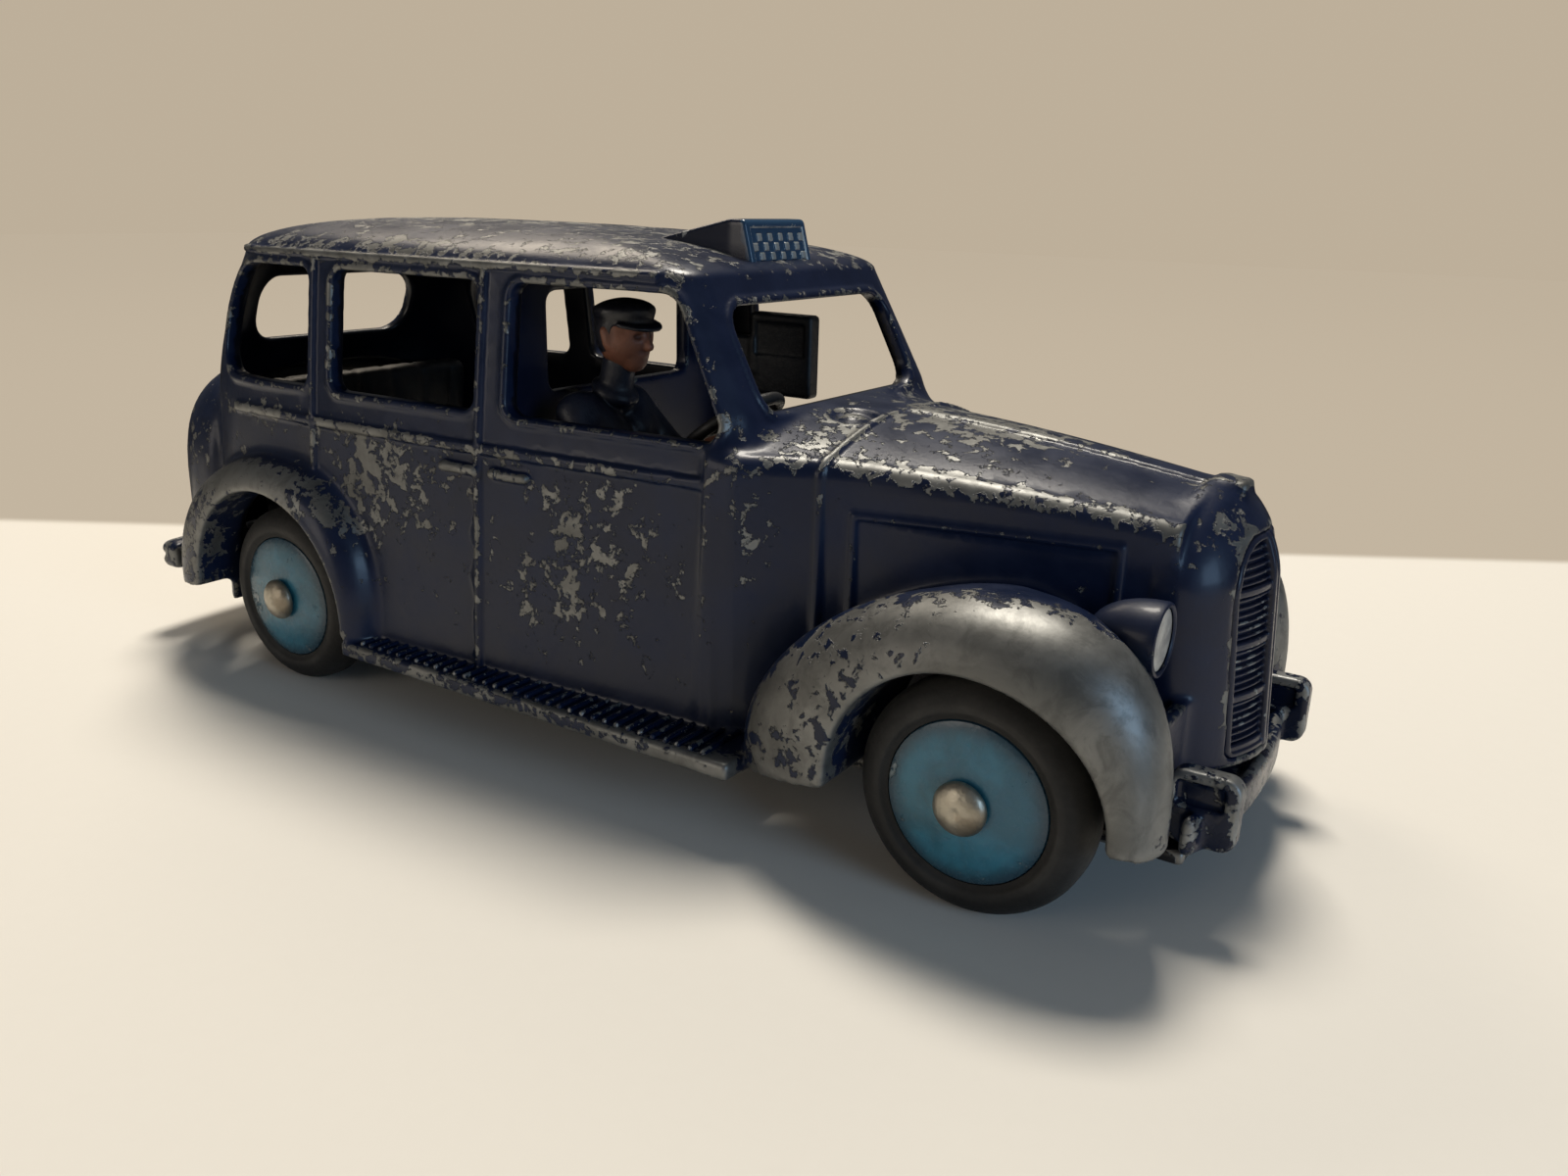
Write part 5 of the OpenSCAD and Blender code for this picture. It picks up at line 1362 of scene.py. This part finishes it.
def sign_shape(x, y, z):
    lean = 0.95 / 3.6
    front = (x - SIGN_FRONT_X + (z - SIGN_FOOT) * lean) / math.hypot(1, lean)
    top = z - SIGN_TOP
    tail_slope = (SIGN_TOP - roof_at(SIGN_TAIL_X)) / (SIGN_FRONT_X - 2.25 - SIGN_TAIL_X)
    back = (z - roof_at(SIGN_TAIL_X) - (x - SIGN_TAIL_X) * tail_slope) / math.hypot(1, tail_slope)
    half = SIGN_HALF - 0.09 * (SIGN_FRONT_X - 2 - x)
    sides = np.abs(y) - np.minimum(half, SIGN_HALF)
    wedge = soft_max(soft_max(front, np.maximum(top, back), 0.3), sides, 0.3)
    inset = np.maximum(np.abs(y) - SIGN_HALF + 0.55, np.maximum(z - SIGN_TOP + 0.5, 34.35 - z))
    recess = soft_max(-(front + 0.16), inset, 0.15)
    wedge = soft_max(wedge, -recess, 0.08)
    square_w, square_h = 0.64, 0.62
    column = np.floor(y / square_w)
    row = np.floor((z - CHEQUER_FOOT) / square_h)
    du = np.abs(y - (column + 0.5) * square_w) - 0.26
    dv = np.abs(z - CHEQUER_FOOT - (row + 0.5) * square_h) - 0.25
    on = (np.mod(column + row, 2) == 0) & (row >= 0) & (row < 3) & (np.abs(y) < 5 * square_w)
    check = np.where(on, np.maximum(np.maximum(du, dv), np.maximum(front + 0.03, -(front + 0.5))), 1.0)
    wedge = soft_min(wedge, check, 0.06)
    return soft_max(wedge, roof_at(x) - 0.3 - z, 0.05)


sign = cast_in("roof_sign", "roof_wedge", 0.07, sign_shape, most=120_000, reach=0.16)


def sign_finish():
    """Bright blue enamel on the leaning face, navy on the rest; the chequer and rim are rubbed bare."""
    material, tree, shader, where = new_material("sign_enamel")
    ridge = attribute(tree, "ridge")
    face = attribute(tree, "face")
    rub = sums(tree, "MULTIPLY_ADD", attribute(tree, "high"), 0.62, 0.16)
    worn_share = sums(tree, "ADD", times(tree, sums(tree, "MAXIMUM", ridge, 0.0), 1.3), rub)
    chips = use_group(tree, CHIPPED, Place=where, Worn=worn_share, Flake=800.0)
    marks_and_shade = use_group(tree, MARKS_AND_SHADE, Place=where, Ridge=ridge)
    paint = blend(tree, face, NAVY, (0.016, 0.052, 0.105))
    # painted shade darkens the sign's paint in its corners and recesses
    paint = blend(tree, times(tree, marks_and_shade["Corner"], 0.7), paint, (0.006, 0.010, 0.025))
    metal = blend(tree, marks_and_shade["Film"], (0.36, 0.38, 0.38), (0.24, 0.25, 0.26))
    wire(shader, Base_Color=blend(tree, chips["Bare"], paint, metal))
    wire(shader, Roughness=between(tree, chips["Bare"], 0.26, 0.44))
    wire(shader, Metallic=times(tree, chips["Bare"], 0.55))
    wire(shader, Normal=bump(tree, chips["Step"], 0.00004, 0.6))
    return material


sign_co = points_of(sign)
lean_off = (sign_co[:, 0] - SIGN_FRONT_X + (sign_co[:, 2] - SIGN_FOOT) * 0.264) / 1.034
on_face = (lean_off > -0.35) & (sign_co[:, 2] > 33.9)
put_attribute(sign, "face", on_face)
within = (np.abs(sign_co[:, 1]) < SIGN_HALF - 0.5) & (sign_co[:, 2] < SIGN_TOP - 0.5)
put_attribute(sign, "high", on_face & (lean_off > -0.1) & within)
dress(sign, sign_finish(), "car", "sign_paint", "roof_sign")

# Bumpers: bowed bars cast with the floor, the front one with two upright overriders.
# They are painted navy like the body and knocked bare along every edge.
BUMPER_T = 2.5
FRONT_BUMPER_HALF = 10.7
REAR_BUMPER_HALF = 15
BOW_SQUARE = 2.4
OVERRIDER_Y = 9


def front_bumper_shape(x, y, z):
    across = np.abs(y) / FRONT_BUMPER_HALF
    lip = NOSE_X - 0.6 - 1.5 * np.minimum(across, 1.2) ** BOW_SQUARE
    back = np.where(np.abs(y) > 8.5, 44.2, 43.0)
    shelf = soft_max(soft_max(x - lip, back - x, 0.2), np.abs(y) - FRONT_BUMPER_HALF, 0.5)
    bar = soft_max(shelf, np.abs(z - SILL_H - BUMPER_T / 2) - BUMPER_T / 2, 0.6)
    hollow = soft_max(np.abs(x - lip + 1.5) - 0.75, np.abs(z - SILL_H - BUMPER_T) - 0.32, 0.35)
    bar = soft_max(bar, -hollow, 0.3)
    for side in (-OVERRIDER_Y, OVERRIDER_Y):
        plate = slab(x, y * 0, z, (43.05, -1, SILL_H + 0.35), (NOSE_X, 1, 9.5), 0.9)
        plate = soft_max(plate, np.abs(y - side) - 0.65, 0.3)
        dent = np.minimum(
            slab(x, y - side, z, (43.5, -2, SILL_H + 2.75), (46.15, -0.3, 8.85), 0.25),
            slab(x, y - side, z, (43.5, 0.3, SILL_H + 2.75), (46.15, 2, 8.85), 0.25),
        )
        bar = soft_min(bar, soft_max(plate, -dent, 0.2), 0.3)
    return bar


def rear_bumper_shape(x, y, z):
    across = np.abs(y) / REAR_BUMPER_HALF
    lip = -NOSE_X + 1.2 * np.minimum(across, 1.2) ** BOW_SQUARE
    inner = np.where(np.abs(y) > 12.8, -43.6, -41.2)
    low = SILL_H + 1
    bar = soft_max(soft_max(lip - x, x - inner, 0.2), np.abs(y) - REAR_BUMPER_HALF, 0.6)
    bar = soft_max(bar, np.abs(z - low - BUMPER_T / 2) - BUMPER_T / 2, 0.9)
    foot = slab(x, y, z, (-43.7, -5, SILL_H), (-41.2, 5, low + 0.4), 0.15)
    groove = 0.16 * hump(z - low, BUMPER_T / 2, 0.3) * (x < lip + 0.8)
    return soft_min(bar + groove, foot, 0.2)


RUBBED_BAR = (0.26, 0.265, 0.262)
bumper_enamel = enamel("bumper_enamel", NAVY, RUBBED_BAR, worn=0.36, flake=900.0, edge=1.4, gloss=0.25)
for name, shape in (("front", front_bumper_shape), ("rear", rear_bumper_shape)):
    bar = cast_in(name + "_bumper", name + "_bar", 0.12, shape, most=120_000, reach=0.35)
    dress(bar, bumper_enamel, "car", "navy_paint", name + "_bumper")

# Stage: a flat pale sheet under the toy, which shows the wall's beige beyond a line behind the toy.
# Warm lamps stand above, behind and low on the right, and a cool one stands in front.
WALL_BEIGE = (0.51, 0.43, 0.325)
ROOM_GREY = (0.085, 0.083, 0.08)
WALL_WAY = (-0.541, 0.841)


def sheet_finish():
    material, tree, shader, _ = new_material("pale_sheet")
    place = node(tree, "NewGeometry").outputs["Position"]
    x, y, _ = node(tree, "SeparateXYZ", Vector=place).outputs
    away = sums(tree, "MULTIPLY_ADD", x, WALL_WAY[0], times(tree, y, WALL_WAY[1]))
    squared = sums(tree, "POWER", sums(tree, "ABSOLUTE", y), 2.0)
    across = sums(tree, "SQRT", sums(tree, "MULTIPLY_ADD", x, x, squared))
    behind = step_between(tree, away, 0.0455, 0.0485)
    far = sums(tree, "MAXIMUM", behind, step_between(tree, across, 0.17, 0.36))
    weave = noise(tree, place, 900.0, 3.0, 0.5)
    pale = blend(tree, times(tree, weave, 0.3), (0.72, 0.69, 0.635), (0.68, 0.65, 0.595))
    wire(shader, Base_Color=blend(tree, far, pale, (0.012, 0.011, 0.01)))
    seen = times(tree, far, node(tree, "LightPath").outputs["Is Camera Ray"])
    wire(shader, Emission_Color=blend(tree, seen, (0.0, 0.0, 0.0), WALL_BEIGE))
    wire(shader, Emission_Strength=1)
    wire(shader, Roughness=0.9)
    wire(shader, Specular_IOR_Level=0.2)
    return material


SHEET_HALF = 900
SHEET_H = -0.01
corners = [(sx * SHEET_HALF, sy * SHEET_HALF, SHEET_H) for sx, sy in ((-1, -1), (1, -1), (1, 1), (-1, 1))]
sheet = mesh_object("sheet", corners, [(0, 1, 2, 3)])
sheet.data.materials.append(sheet_finish())


def soft_lamp(name, place, target, size, power, colour):
    data = bpy.data.lights.new(name, "AREA")
    data.size = size
    data.energy = power
    data.color = colour
    lamp = bpy.data.objects.new(name, data)
    lamp.location = place
    lamp.visible_camera = False
    lamp.rotation_euler = (Vector(target) - Vector(place)).to_track_quat("-Z", "Y").to_euler()
    bpy.context.scene.collection.objects.link(lamp)


soft_lamp("high_lamp", (-0.08, 0.15, 0.48), (0, 0, 0.0), 0.14, 2.9, (1.0, 0.93, 0.82))
soft_lamp("back_lamp", (-0.28, 0.20, 0.30), (0, 0, 0.0), 0.16, 0.4, (1.0, 0.87, 0.70))
soft_lamp("window_lamp", (0.40, -0.10, 0.12), (0.02, 0, 0.015), 0.16, 0.5, (0.45, 0.70, 1.0))
soft_lamp("side_lamp", (-0.20, -0.42, 0.11), (0, 0, 0.015), 0.2, 0.3, (1.0, 0.9, 0.78))


def studio_world():
    """Dim room light; the camera sees the beige wall."""
    world = bpy.data.worlds.new("studio")
    world.use_nodes = True
    tree = world.node_tree
    seen = node(tree, "LightPath").outputs["Is Camera Ray"]
    wire(tree.nodes["Background"], Color=blend(tree, seen, ROOM_GREY, WALL_BEIGE))
    return world


bpy.context.scene.world = studio_world()

# Camera: close to the toy's right front corner, at about the height of its roof.
# It looks down a little and is tilted a degree and a half, as solved from the photograph.
YAW, PITCH, ROLL = (math.radians(v) for v in (32.746, 17.716, 1.551))
CAMERA_PLACE = Vector((58.03, -72.81, 38.76)) * MM
FOCAL_PIXELS = 1243.1
IMAGE_WIDTH = 1600
backward = Vector((math.sin(YAW) * math.cos(PITCH), -math.cos(YAW) * math.cos(PITCH), math.sin(PITCH)))
right = (-backward).cross(Vector((0, 0, 1))).normalized()
up = right.cross(-backward)
right, up = math.cos(ROLL) * right + math.sin(ROLL) * up, -math.sin(ROLL) * right + math.cos(ROLL) * up
turned = Matrix((right, up, backward)).transposed().to_4x4()
camera_data = bpy.data.cameras.new("photo_camera")
camera_data.sensor_width = 36
camera_data.lens = FOCAL_PIXELS / IMAGE_WIDTH * camera_data.sensor_width
camera_data.clip_start = 0.002
camera = bpy.data.objects.new("photo_camera", camera_data)
camera.matrix_world = Matrix.Translation(CAMERA_PLACE) @ turned
bpy.context.scene.collection.objects.link(camera)
bpy.context.scene.camera = camera
bpy.context.scene.view_settings.view_transform = "Standard"
